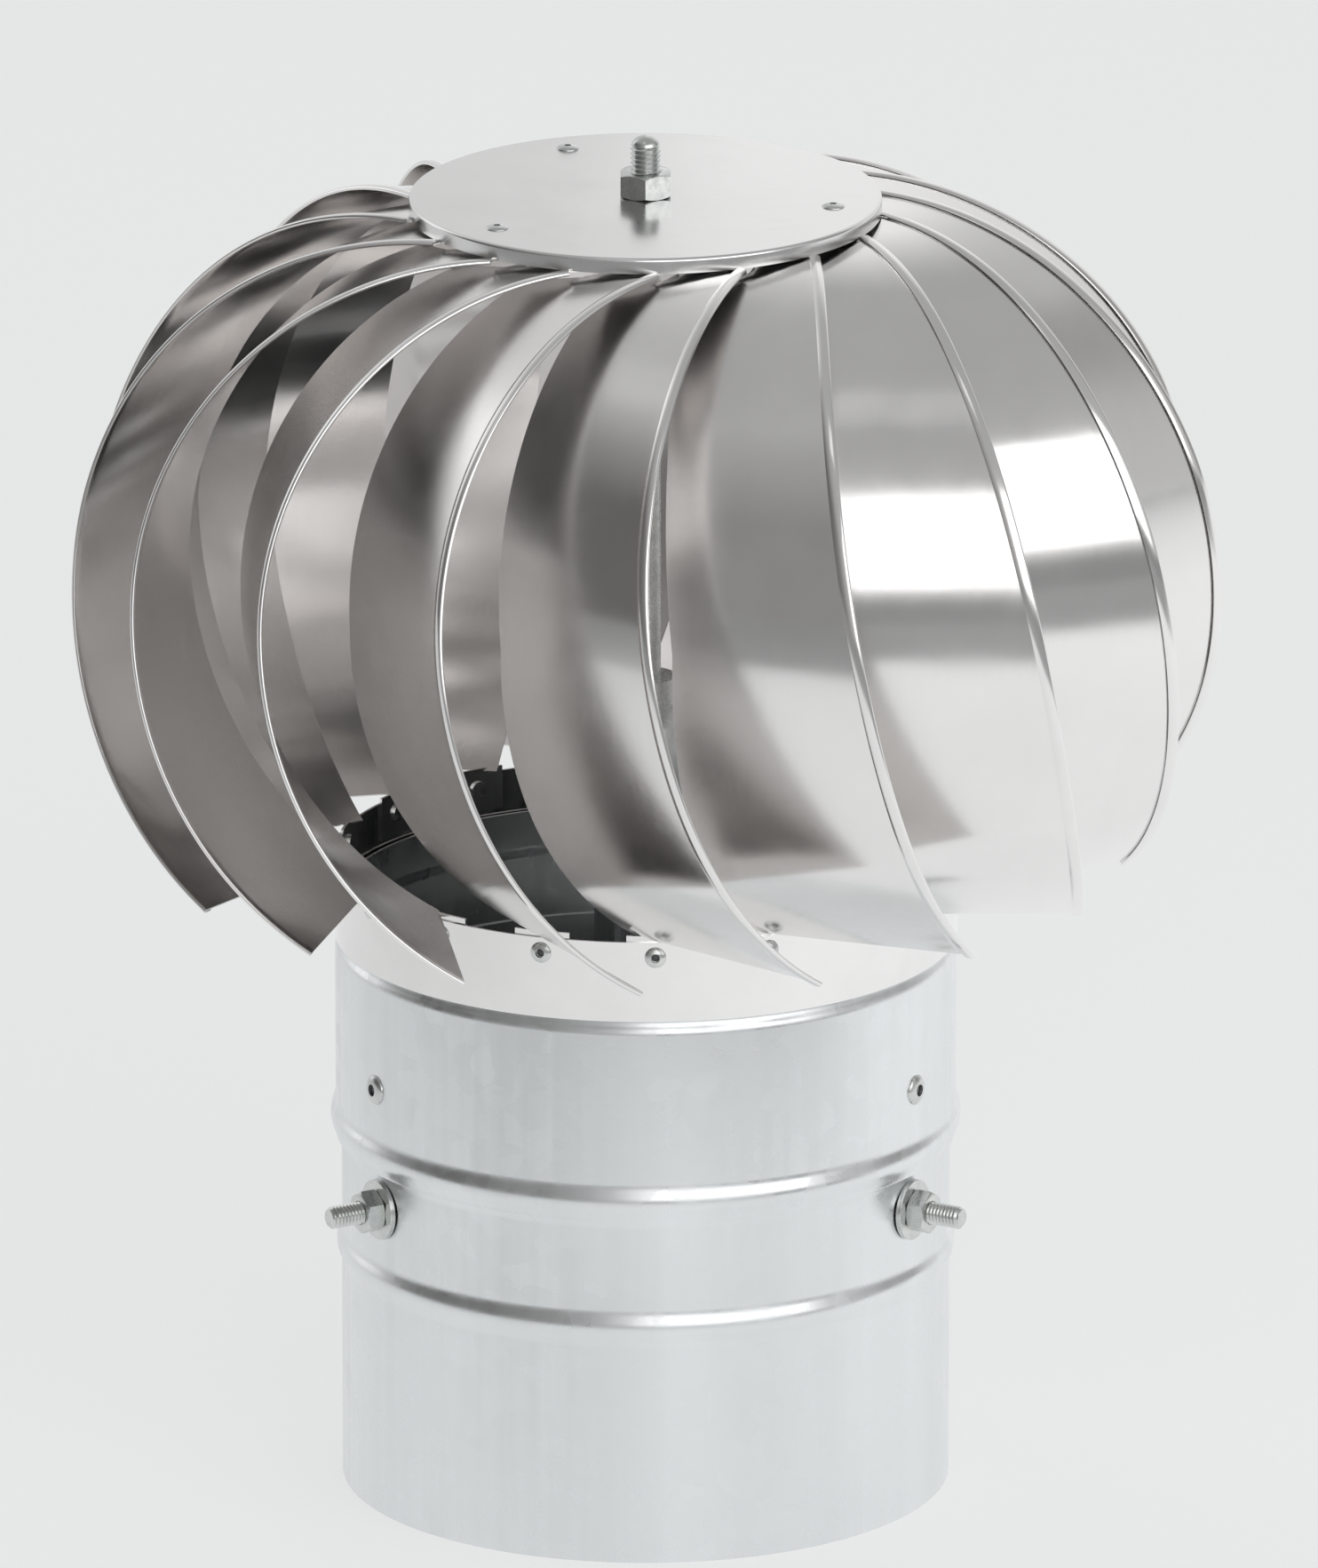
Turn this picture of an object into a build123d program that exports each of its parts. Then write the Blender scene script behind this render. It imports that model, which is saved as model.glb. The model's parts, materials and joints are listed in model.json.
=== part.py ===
from build123d import *
from math import asin, atan2, cos, degrees, pi, radians, sin, sqrt
import os

# Roof turbine ventilator for a 160 mm duct, in millimetres.
# The axis is Z, the lower end of the spigot is z = 0 and the front is -Y.
# An azimuth is measured about Z from the front towards +X.

# Duct side: spigot pipe and neck
SHEET = 0.7
SPIGOT_RADIUS = 80.0
SPIGOT_TOP = 128.0
NECK_RADIUS = 81.5
NECK_BOTTOM = 94.0
NECK_SHOULDER_Z = 145.5
NECK_LIP_RADIUS = 80.3
NECK_TOP = 158.0
LOWER_BEAD_Z = 64.0
UPPER_BEAD_Z = 98.8
BEAD_HEIGHT = 1.4
BEAD_WIDTH = 8.0

# Spiders that carry the bearing housing
ARM_AZIMUTHS = (60.0, 180.0, 300.0)
ARM_WIDTH = 16.0
ARM_THICKNESS = 2.0
ARM_RIB_RADIUS = 2.5
HUB_FLANGE = 9.0
TAB_DROP = 14.0

# M6 bolts of the lower spider and rivets of the upper one
LOWER_BOLT_Z = 84.0
BOLT_RADIUS = 3.0
BOLT_HOLE = 3.2
BOLT_FLATS = 10.0
BOLT_HEAD = 4.0
BOLT_NUT_HEIGHT = 5.0
BOLT_WASHER = 1.4
BOLT_WASHER_RADIUS = 8.0
BOLT_END_RADIUS = 95.5
UPPER_RIVET_Z = 117.0
NECK_RIVET_SHANK = 2.0
NECK_RIVET_HEAD = 4.0

# Bearing housing and its two 608 bearings
HOUSING_RADIUS = 13.5
HOUSING_BORE = 9.5
HOUSING_BOTTOM = 75.0
HOUSING_TOP = 205.0
HOUSING_LIP = 1.0
CIRCLIP_GROOVE = 1.1
BEARING_WIDTH = 7.0
BEARING_RADIUS = 11.0
BEARING_OUTER_LAND = 9.1
BEARING_INNER_LAND = 6.05
BALL_RADIUS = 1.98
BALL_PITCH = 7.5
BALL_COUNT = 7
RACE_CLEARANCE = 0.05

# Axle and what is clamped on it, from the foot up
AXLE_RADIUS = 4.0
AXLE_BOTTOM = 60.0
AXLE_TOP = 364.0
AXLE_DOME = 2.5
NUT_FLATS = 13.0
NUT_HEIGHT = 6.5
WASHER = 1.6
WASHER_RADIUS = 8.0
SPACER_RADIUS = 5.9
SPACER_LENGTH = 4.0
SHIELD_Z = 209.0
SHIELD_SHEET = 0.8
SHIELD_SKIRT = 9.0
COLLAR_HEIGHT = 8.0
COLLAR_RADIUS = 8.0
COLLAR_SCREW_RADIUS = 2.0
PLATE_WASHER_RADIUS = 12.0

# Blades: a strip rolled on two arcs that meet at the waist
BLADE_COUNT = 17
BLADE_SHEET = 0.6
BLADE_TILT = 43.5
BLADE_PHASE = 2.5
BLADE_REACH = 153.0
WAIST_Z = 259.0
UPPER_ROLL = 84.5
LOWER_ROLL = 102.5
BLADE_FOOT_Z = 170.5
HEM_WIDTH = 3.2
HEM_SHEET = 0.5
HEM_AT_WAIST = 5.5
INNER_AT_WAIST = 58.0
TAB_ROOT_RADIUS = 60.0
TAB_START = 52.0
TAB_WIDTH = 10.0
TOP_TAB = 8.0
TAB_RIVET_REACH = 4.0
FOOT_TAB_DROP = 10.0
FOOT_TAB_WIDTH = 15.0

# Ring at the blades' feet, and the plate and cap at their tops
RING_RADIUS = 81.7
RING_BOTTOM = 148.5
RING_TOP = 170.0
RING_RIVET_Z = 166.0
RING_RIVET_AZIMUTH = 1.8
RIVET_RADIUS = 1.5
RIVET_HEAD = 2.6
PLATE_RADIUS = 59.5
PLATE_THICKNESS = 1.2
CAP_RADIUS = 61.5
CAP_TOP = 348.0
CAP_RIM = 4.1
CAP_SHEET = 0.8
CAP_RIVET_RADIUS = 50.0
CAP_RIVET_GAPS = (-3.5, 2.5, 8.5)
CAP_RIVET_SHANK = 1.6
CAP_RIVET_HEAD = 3.0

# Places that follow from the sizes above
PLATE_Z = WAIST_Z + UPPER_ROLL
CAP_UNDERSIDE = CAP_TOP - CAP_SHEET
LOWER_BEARING_Z = HOUSING_BOTTOM + HOUSING_LIP + CIRCLIP_GROOVE
UPPER_BEARING_Z = HOUSING_TOP - HOUSING_LIP - CIRCLIP_GROOVE - BEARING_WIDTH


def spin(shape, azimuth):
    """A shape made at the front, turned about the axis to an azimuth."""
    return Rot(0, 0, azimuth) * shape


def radial(radius, z, azimuth=0.0):
    """The plane at a radius and height whose normal points outwards."""
    a = radians(azimuth)
    return Plane(origin=(radius * sin(a), -radius * cos(a), z), x_dir=(cos(a), sin(a), 0),
                 z_dir=(sin(a), -cos(a), 0))


def tube(outer, inner, bottom, top):
    """A plain ring about the axis."""
    ring = Cylinder(outer, top - bottom) - Cylinder(inner, top - bottom)
    return Pos(0, 0, (bottom + top) / 2) * ring


def turned(points):
    """A solid of revolution from a closed outline of (radius, z) points."""
    outline = make_face(Plane.XZ * Polyline(*points, close=True))
    return revolve(outline, axis=Axis.Z)


def group(shapes):
    """Separate solids kept in one node."""
    return Compound(children=list(shapes))


def bead(radius, z):
    """A rolled bead about the axis: a rounded swelling and the hollow behind it."""
    half = BEAD_WIDTH / 2
    inside = radius - SHEET
    outline = Wire([
        Line((inside, z - half), (radius, z - half)),
        ThreePointArc((radius, z - half), (radius + BEAD_HEIGHT, z), (radius, z + half)),
        Line((radius, z + half), (inside, z + half)),
        ThreePointArc((inside, z + half), (inside + BEAD_HEIGHT, z), (inside, z - half)),
    ])
    return revolve(make_face(Plane.XZ * outline), axis=Axis.Z)


def beaded_pipe(profile, radius, bead_z):
    """A turned pipe whose wall is replaced by a bead around one height."""
    half = BEAD_WIDTH / 2
    gap = tube(radius + 1, radius - SHEET - 1, bead_z - half, bead_z + half)
    return turned(profile) - gap + bead(radius, bead_z)


def base_pipe():
    """The spigot, widened above into the neck that is riveted over it."""
    r = SPIGOT_RADIUS
    wide = NECK_RADIUS - SHEET
    step = NECK_BOTTOM + 0.3
    outer = [(r, 0), (r, step - 2), (wide, step), (wide, SPIGOT_TOP)]
    profile = outer + [(radius - SHEET, z) for radius, z in reversed(outer)]
    pipe = beaded_pipe(profile, r, LOWER_BEAD_Z)
    for azimuth in ARM_AZIMUTHS:
        pipe -= radial(r - 5, LOWER_BOLT_Z, azimuth) * Cylinder(BOLT_HOLE, 20)
        pipe -= radial(r, UPPER_RIVET_Z, azimuth) * Cylinder(NECK_RIVET_SHANK, 20)
    return pipe


def neck_sleeve():
    """The neck, beaded at its foot and drawn in at the top, where the rotor ring laps it."""
    r = NECK_RADIUS
    lip = NECK_LIP_RADIUS
    shoulder = NECK_SHOULDER_Z
    outer = [(r, NECK_BOTTOM), (r, shoulder), (lip, shoulder + 2), (lip, NECK_TOP)]
    profile = outer + [(radius - SHEET, z) for radius, z in reversed(outer)]
    neck = beaded_pipe(profile, r, UPPER_BEAD_Z)
    for azimuth in ARM_AZIMUTHS:
        neck -= radial(r, UPPER_RIVET_Z, azimuth) * Cylinder(NECK_RIVET_SHANK, 20)
    return neck


def spider(wall, tab_hole_z, hole_radius):
    """Three ribbed arms about the housing, with tabs turned down along the wall."""
    plate_top = tab_hole_z + TAB_DROP / 2 + 1
    arm_length = wall - ARM_THICKNESS / 2
    arm_z = plate_top - ARM_THICKNESS / 2
    star = Pos(0, 0, arm_z) * Cylinder(HOUSING_RADIUS + HUB_FLANGE, ARM_THICKNESS)
    for azimuth in ARM_AZIMUTHS:
        arm = Pos(0, -arm_length / 2, arm_z) * Box(ARM_WIDTH, arm_length, ARM_THICKNESS)
        drop = plate_top - (tab_hole_z - TAB_DROP / 2)
        block = Pos(0, -wall, plate_top - drop / 2) * Box(ARM_WIDTH, 20, drop)
        tab = block & tube(wall, wall - ARM_THICKNESS, plate_top - drop, plate_top)
        rib = Rot(90, 0, 0) * Cylinder(ARM_RIB_RADIUS, arm_length - 36)
        rib = Pos(0, -arm_length / 2 - 4, plate_top) * rib
        star += spin(arm & tube(wall, 0.001, plate_top - ARM_THICKNESS, plate_top), azimuth)
        star += spin(rib - Pos(0, -arm_length / 2, plate_top - 10) * Box(20, 200, 20), azimuth)
        star += spin(tab, azimuth)
    for azimuth in ARM_AZIMUTHS:
        star -= radial(wall - 1, tab_hole_z, azimuth) * Cylinder(hole_radius, 8)
    return star - Pos(0, 0, plate_top) * Cylinder(HOUSING_RADIUS, 30)


def bearing_housing():
    """The tube that holds both bearings, with a seat and a circlip groove at each end."""
    body = tube(HOUSING_RADIUS, HOUSING_BORE, HOUSING_BOTTOM, HOUSING_TOP)
    body -= tube(BEARING_RADIUS, 1, HOUSING_BOTTOM, LOWER_BEARING_Z + BEARING_WIDTH)
    body -= tube(BEARING_RADIUS, 1, UPPER_BEARING_Z, HOUSING_TOP)
    for z in (HOUSING_BOTTOM + HOUSING_LIP, HOUSING_TOP - HOUSING_LIP - CIRCLIP_GROOVE):
        body -= tube(BEARING_RADIUS + 0.6, 1, z, z + CIRCLIP_GROOVE)
    return body


def circlip(z):
    """An internal circlip with two eyed ends."""
    ring = tube(BEARING_RADIUS + 0.5, BEARING_RADIUS - 1.3, z, z + 1)
    ring -= Pos(0, -BEARING_RADIUS, z + 0.5) * Box(7, 6, 4)
    for side in (-1, 1):
        eye = Pos(side * 4.3, -BEARING_RADIUS + 2.3, z + 0.5) * Cylinder(1.5, 1)
        ring += eye
    for side in (-1, 1):
        ring -= Pos(side * 4.3, -BEARING_RADIUS + 2.3, z + 0.5) * Cylinder(0.7, 4)
    return ring


def groove(z):
    """The torus that cuts the ball race of a bearing whose lower face is at z."""
    return Pos(0, 0, z + BEARING_WIDTH / 2) * Torus(BALL_PITCH, BALL_RADIUS + RACE_CLEARANCE)


def outer_ring(z):
    return tube(BEARING_RADIUS, BEARING_OUTER_LAND, z, z + BEARING_WIDTH) - groove(z)


def inner_ring(z):
    return tube(BEARING_INNER_LAND, AXLE_RADIUS, z, z + BEARING_WIDTH) - groove(z)


def ball_places(z):
    middle = z + BEARING_WIDTH / 2
    return [Pos(*(BALL_PITCH * cos(a), BALL_PITCH * sin(a), middle))
            for a in (2 * pi * i / BALL_COUNT for i in range(BALL_COUNT))]


def balls(z):
    return group(place * Sphere(BALL_RADIUS) for place in ball_places(z))


def ball_cage(z):
    """A crown cage: a ring on one side with a pocket round each ball."""
    middle = z + BEARING_WIDTH / 2
    cage = tube(8.1, 6.9, middle - 2.9, middle + 0.6)
    for place in ball_places(z):
        cage -= place * Sphere(BALL_RADIUS + RACE_CLEARANCE)
    return cage


def shields(z):
    """The two thin dust shields held in the outer ring."""
    faces = (z + 0.1, z + BEARING_WIDTH - 0.4)
    return group(tube(BEARING_OUTER_LAND, 6.3, face, face + 0.3) for face in faces)


def hex_bar(flats, height):
    """A hexagonal bar standing on z = 0, its upper corners turned to a chamfer."""
    corner = flats / sqrt(3)
    bar = extrude(RegularPolygon(corner, 6), height)
    dome = Cone(corner + height, corner - 0.5, height + 0.5)
    return bar & Pos(0, 0, (height - 0.5) / 2 + 0.25) * dome


def nut(flats, height, bore):
    return hex_bar(flats, height) - Cylinder(bore, 3 * height)


def washer(outer, bore, thickness):
    return tube(outer, bore, 0, thickness)


def arc_point(length):
    """Inset and height of the blade's outer face, a length along the strip from its waist."""
    roll = UPPER_ROLL if length > 0 else LOWER_ROLL
    return roll * (1 - cos(length / roll)), WAIST_Z + roll * sin(length / roll)


def hem_side(length):
    """Place of the outer, hemmed edge across the flat strip."""
    return HEM_AT_WAIST + 0.208 * length + 0.00083 * length ** 2


def inner_side(length):
    """Place of the plain inner edge across the flat strip."""
    if length > 0:
        return INNER_AT_WAIST + 0.11 * length + 0.0004 * length ** 2
    return INNER_AT_WAIST - 0.02 * length - 0.0004 * length ** 2


def rolled_strip(outside, inside):
    """A sheet rolled on the blade's two arcs, between two offsets from its outer face.

    X runs inwards across the sheet, Y along the level chord and Z up.
    """
    sweep = degrees(asin((WAIST_Z - BLADE_FOOT_Z + 4) / LOWER_ROLL))
    low = radians(sweep)
    tab_end = UPPER_ROLL + TOP_TAB
    rolls = (LOWER_ROLL - outside, LOWER_ROLL - inside)
    foot = [(LOWER_ROLL - r * cos(low), WAIST_Z - r * sin(low)) for r in rolls]
    top, under = PLATE_Z - outside, PLATE_Z - inside
    profile = Wire([
        CenterArc((LOWER_ROLL, WAIST_Z), LOWER_ROLL - outside, 180, sweep),
        CenterArc((UPPER_ROLL, WAIST_Z), UPPER_ROLL - outside, 90, 90),
        Line((UPPER_ROLL, top), (tab_end, top)),
        Line((tab_end, top), (tab_end, under)),
        Line((tab_end, under), (UPPER_ROLL, under)),
        CenterArc((UPPER_ROLL, WAIST_Z), UPPER_ROLL - inside, 90, 90),
        CenterArc((LOWER_ROLL, WAIST_Z), LOWER_ROLL - inside, 180, sweep),
        Line(foot[1], foot[0]),
    ])
    return extrude(make_face(Plane.XZ * profile), 100, both=True)


def edge_window(first_side, second_side):
    """A prism across the sheet, between two edge curves of the strip."""
    lengths = range(-110, 121, 10)
    first = [(first_side(n), arc_point(n)[1]) for n in lengths]
    second = [(second_side(n), arc_point(n)[1]) for n in lengths]
    above = PLATE_Z + 5
    corner, far_corner = (first_side(126), above), (second_side(126), above)
    outline = Wire([
        Spline(*first),
        Line(first[-1], corner),
        Line(corner, far_corner),
        Line(far_corner, second[-1]),
        Spline(*reversed(second)),
        Line(second[0], first[0]),
    ])
    return extrude(make_face(Plane.YZ * outline), 150, both=True)


def hem_fold_side(length):
    return hem_side(length) + HEM_WIDTH


def foot_tab():
    """The part of a blade that is turned down inside the rotor ring and riveted to it."""
    inside = RING_RADIUS - SHEET
    tab = tube(inside, inside - SHEET, RING_TOP - FOOT_TAB_DROP, BLADE_FOOT_Z + 1.2)
    tab &= Pos(0, -inside, RING_TOP) * Box(FOOT_TAB_WIDTH, 30, 40)
    tab -= radial(inside, RING_RIVET_Z) * Cylinder(RIVET_RADIUS, 10)
    return spin(tab, RING_RIVET_AZIMUTH - BLADE_PHASE)


def blade():
    """One blade at the front: a tapered strip rolled on two arcs, with a tab at each end."""
    tilt = radians(BLADE_TILT)
    frame = Plane(origin=(0, -BLADE_REACH, 0), x_dir=(sin(tilt), cos(tilt), 0), z_dir=(0, 0, 1))
    sheet = frame * (rolled_strip(0, BLADE_SHEET) & edge_window(hem_side, inner_side))
    sheet -= Pos(0, 0, PLATE_Z) * Cylinder(TAB_ROOT_RADIUS, 40)
    middle = TAB_START + TAB_WIDTH / 2
    tab = rolled_strip(0, BLADE_SHEET) & Pos(UPPER_ROLL, middle, PLATE_Z) * Box(60, TAB_WIDTH, 20)
    sheet += frame * tab
    hem = frame * (rolled_strip(-HEM_SHEET, 0) & edge_window(hem_side, hem_fold_side))
    sheet += hem - Pos(0, 0, PLATE_Z) * Cylinder(TAB_ROOT_RADIUS + 3, 40)
    sheet &= Pos(0, 0, BLADE_FOOT_Z + 150) * Box(400, 400, 300)
    sheet -= tab_rivet_place() * Pos(0, 0, PLATE_Z) * Cylinder(RIVET_RADIUS, 10)
    return sheet + foot_tab()


def tab_rivet_place():
    """Place of the rivet through the upper tab of the blade at the front."""
    tilt = radians(BLADE_TILT)
    inset = UPPER_ROLL + TAB_RIVET_REACH
    across = TAB_START + TAB_WIDTH / 2
    x = sin(tilt) * inset - cos(tilt) * across
    y = -BLADE_REACH + cos(tilt) * inset + sin(tilt) * across
    return Pos(x, y, 0)


def blade_azimuth(number):
    return BLADE_PHASE + number * 360 / BLADE_COUNT


def ring_rivet_azimuth(number):
    return RING_RIVET_AZIMUTH + number * 360 / BLADE_COUNT


def cap_rivet_places():
    """Three places half way between upper tabs."""
    tab = tab_rivet_place().position
    first = degrees(atan2(tab.X, -tab.Y))
    azimuths = (blade_azimuth(gap) + first for gap in CAP_RIVET_GAPS)
    return [Rot(0, 0, azimuth) * Pos(0, -CAP_RIVET_RADIUS, 0) for azimuth in azimuths]


def lower_ring():
    """The plain ring that the blades' feet are riveted to, lapping the neck."""
    ring = tube(RING_RADIUS, RING_RADIUS - SHEET, RING_BOTTOM, RING_TOP)
    for number in range(BLADE_COUNT):
        ring -= radial(RING_RADIUS, RING_RIVET_Z, ring_rivet_azimuth(number)) * Cylinder(RIVET_RADIUS, 4)
    return ring


def blade_plate():
    """The flat plate that the blades' upper tabs are riveted under."""
    plate = tube(PLATE_RADIUS, AXLE_RADIUS, PLATE_Z, PLATE_Z + PLATE_THICKNESS)
    for number in range(BLADE_COUNT):
        place = Rot(0, 0, blade_azimuth(number)) * tab_rivet_place()
        plate -= place * Pos(0, 0, PLATE_Z) * Cylinder(RIVET_RADIUS, 10)
    for place in cap_rivet_places():
        plate -= place * Pos(0, 0, PLATE_Z) * Cylinder(CAP_RIVET_SHANK, 10)
    return plate


def top_cap():
    """The flat cover over the blade plate, its rim turned down."""
    r = CAP_RADIUS
    inner = r - CAP_SHEET
    outline = [(AXLE_RADIUS, CAP_UNDERSIDE), (inner, CAP_UNDERSIDE), (inner, CAP_TOP - CAP_RIM),
               (r, CAP_TOP - CAP_RIM), (r, CAP_TOP - 0.5), (r - 0.5, CAP_TOP), (AXLE_RADIUS, CAP_TOP)]
    cap = turned(outline)
    for place in cap_rivet_places():
        cap -= place * Pos(0, 0, CAP_TOP) * Cylinder(CAP_RIVET_SHANK, 10)
    return cap


def dome_side(radius, height):
    """The middle point of the arc of a dome that stands on z = 0."""
    curve = (radius ** 2 + height ** 2) / (2 * height)
    half = asin(radius / curve) / 2
    return curve * sin(half), height - curve * (1 - cos(half))


def rivet(shank, grip, head, head_height, tail):
    """A set rivet along Z, its domed head standing on z = 0."""
    end = -grip - 0.8
    outline = Wire([
        Line((0, end), (tail, end)),
        Line((tail, end), (tail, -grip)),
        Line((tail, -grip), (shank, -grip)),
        Line((shank, -grip), (shank, 0)),
        Line((shank, 0), (head, 0)),
        ThreePointArc((head, 0), dome_side(head, head_height), (0, head_height)),
        Line((0, head_height), (0, end)),
    ])
    return revolve(make_face(Plane.XZ * outline), axis=Axis.Z)


def cap_rivet():
    """A shouldered rivet that ties the cap to the blade plate and keeps them apart."""
    gap = CAP_UNDERSIDE - PLATE_Z - PLATE_THICKNESS
    body = rivet(CAP_RIVET_SHANK, CAP_TOP - PLATE_Z, CAP_RIVET_HEAD, 0.9, 2.4)
    return body + Pos(0, 0, -CAP_SHEET - gap / 2) * Cylinder(CAP_RIVET_SHANK + 1.2, gap)


def ring_rivets():
    one = rivet(RIVET_RADIUS, 2 * SHEET + 0.05, RIVET_HEAD, 1.0, 2.2)
    azimuths = (ring_rivet_azimuth(n) for n in range(BLADE_COUNT))
    return group(radial(RING_RADIUS, RING_RIVET_Z, azimuth) * one for azimuth in azimuths)


def plate_rivets():
    one = rivet(RIVET_RADIUS, PLATE_THICKNESS + BLADE_SHEET, RIVET_HEAD, 1.0, 2.4)
    one = tab_rivet_place() * Pos(0, 0, PLATE_Z + PLATE_THICKNESS) * one
    return group(spin(one, blade_azimuth(n)) for n in range(BLADE_COUNT))


def neck_rivets():
    one = rivet(NECK_RIVET_SHANK, 2 * SHEET + ARM_THICKNESS + 0.1, NECK_RIVET_HEAD, 1.3, 3.4)
    return group(radial(NECK_RADIUS, UPPER_RIVET_Z, azimuth) * one for azimuth in ARM_AZIMUTHS)


def at_bolts(radius, shape):
    """Three copies of a shape made along Z, set outwards at the lower spider's bolts."""
    return group(radial(radius, LOWER_BOLT_Z, azimuth) * shape for azimuth in ARM_AZIMUTHS)


def spider_bolts():
    start = SPIGOT_RADIUS - SHEET - ARM_THICKNESS - 0.25
    length = BOLT_END_RADIUS - start
    head = Pos(0, 0, -BOLT_HEAD) * hex_bar(BOLT_FLATS, BOLT_HEAD)
    shank = Cylinder(BOLT_RADIUS, length)
    shank = chamfer(shank.edges().sort_by(Axis.Z)[-1:], 0.7)
    return at_bolts(start, head + Pos(0, 0, length / 2) * shank)


def axle():
    """The turning axle, domed at the top and chamfered at the foot."""
    r = AXLE_RADIUS
    shoulder = AXLE_TOP - AXLE_DOME
    side, rise = dome_side(r, AXLE_DOME)
    outline = Wire([
        Line((0, AXLE_BOTTOM), (r - 0.8, AXLE_BOTTOM)),
        Line((r - 0.8, AXLE_BOTTOM), (r, AXLE_BOTTOM + 0.8)),
        Line((r, AXLE_BOTTOM + 0.8), (r, shoulder)),
        ThreePointArc((r, shoulder), (side, shoulder + rise), (0, AXLE_TOP)),
        Line((0, AXLE_TOP), (0, AXLE_BOTTOM)),
    ])
    return revolve(make_face(Plane.XZ * outline), axis=Axis.Z)


def rain_shield():
    """A spun shield that turns with the axle and laps the top of the housing."""
    t = SHIELD_SHEET
    skirt = HOUSING_RADIUS + 2
    hub = SHIELD_Z
    foot = hub - SHIELD_SKIRT
    outer = [(AXLE_RADIUS, hub + t), (9, hub + t), (skirt + t, hub - 1.2), (skirt + t, foot)]
    inner = [(skirt, foot), (skirt, hub - 1.7), (8.8, hub), (AXLE_RADIUS, hub)]
    return turned(outer + inner)


def axle_collar():
    bottom = SHIELD_Z + SHIELD_SHEET
    body = tube(COLLAR_RADIUS, AXLE_RADIUS, bottom, bottom + COLLAR_HEIGHT)
    return body - radial(6, bottom + COLLAR_HEIGHT / 2, 90) * Cylinder(COLLAR_SCREW_RADIUS, 10)


def collar_screw():
    length = COLLAR_RADIUS - AXLE_RADIUS - 0.3
    screw = Pos(0, 0, AXLE_RADIUS + length / 2) * Cylinder(COLLAR_SCREW_RADIUS, length)
    screw -= Pos(0, 0, AXLE_RADIUS + length) * extrude(RegularPolygon(1.15, 6), 1.5, both=True)
    return radial(0, SHIELD_Z + SHIELD_SHEET + COLLAR_HEIGHT / 2, 90) * screw


def build_parts():
    """Every node, by name."""
    lower, upper = LOWER_BEARING_Z, UPPER_BEARING_Z
    bolt_washer = washer(BOLT_WASHER_RADIUS, BOLT_HOLE, BOLT_WASHER)
    bolt_nut = nut(BOLT_FLATS, BOLT_NUT_HEIGHT, BOLT_RADIUS)
    axle_nut = nut(NUT_FLATS, NUT_HEIGHT, AXLE_RADIUS)
    hanging_nut = Rot(180, 0, 0) * axle_nut
    axle_washer = washer(WASHER_RADIUS, AXLE_RADIUS, WASHER)
    plate_washer = washer(PLATE_WASHER_RADIUS, AXLE_RADIUS, WASHER)
    under_bearing = lower - SPACER_LENGTH
    under_plate = PLATE_Z - WASHER
    parts = {
        "base_pipe": base_pipe(),
        "neck_sleeve": neck_sleeve(),
        "lower_spider": spider(SPIGOT_RADIUS - SHEET, LOWER_BOLT_Z, BOLT_HOLE),
        "upper_spider": spider(NECK_RADIUS - 2 * SHEET, UPPER_RIVET_Z, NECK_RIVET_SHANK),
        "neck_rivets": neck_rivets(),
        "spider_bolts": spider_bolts(),
        "spider_bolt_washers": at_bolts(SPIGOT_RADIUS, bolt_washer),
        "spider_bolt_nuts": at_bolts(SPIGOT_RADIUS + BOLT_WASHER, bolt_nut),
        "bearing_housing": bearing_housing(),
        "lower_circlip": circlip(HOUSING_BOTTOM + HOUSING_LIP),
        "upper_circlip": circlip(HOUSING_TOP - HOUSING_LIP - 1),
        "axle": axle(),
        "axle_washer": Pos(0, 0, under_bearing - WASHER) * axle_washer,
        "axle_lock_nut": Pos(0, 0, under_bearing - WASHER) * hanging_nut,
        "lower_spacer": tube(SPACER_RADIUS, AXLE_RADIUS, under_bearing, lower),
        "upper_spacer": tube(SPACER_RADIUS, AXLE_RADIUS, upper + BEARING_WIDTH, SHIELD_Z),
        "rain_shield": rain_shield(),
        "axle_collar": axle_collar(),
        "collar_screw": collar_screw(),
        "plate_nut": Pos(0, 0, under_plate) * hanging_nut,
        "plate_washer": Pos(0, 0, under_plate) * plate_washer,
        "blade_plate": blade_plate(),
        "plate_rivets": plate_rivets(),
        "cap_spacer": tube(PLATE_WASHER_RADIUS, AXLE_RADIUS, PLATE_Z + PLATE_THICKNESS, CAP_UNDERSIDE),
        "top_cap": top_cap(),
        "cap_rivets": group(place * Pos(0, 0, CAP_TOP) * cap_rivet() for place in cap_rivet_places()),
        "top_nut": Pos(0, 0, CAP_TOP) * axle_nut,
        "lower_ring": lower_ring(),
        "ring_rivets": ring_rivets(),
    }
    for name, z in (("lower", lower), ("upper", upper)):
        parts[f"{name}_bearing_outer_ring"] = outer_ring(z)
        parts[f"{name}_bearing_inner_ring"] = inner_ring(z)
        parts[f"{name}_bearing_shields"] = shields(z)
        parts[f"{name}_bearing_cage"] = ball_cage(z)
        parts[f"{name}_bearing_balls"] = balls(z)
    one_blade = blade()
    for number in range(BLADE_COUNT):
        parts[f"blade_{number + 1:02d}"] = Rot(0, 0, blade_azimuth(number)) * one_blade
    return parts


if __name__ == "__main__":
    os.makedirs("parts", exist_ok=True)
    for name, shape in build_parts().items():
        export_step(shape, f"parts/{name}.step")
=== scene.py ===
import json
from math import asin, atan2, cos, hypot, pi, radians, sin, sqrt, tan, tau
from typing import NamedTuple

import bmesh
import bpy
from bpy.props import FloatProperty, FloatVectorProperty, IntProperty, PointerProperty
from mathutils import Matrix, Vector


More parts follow.
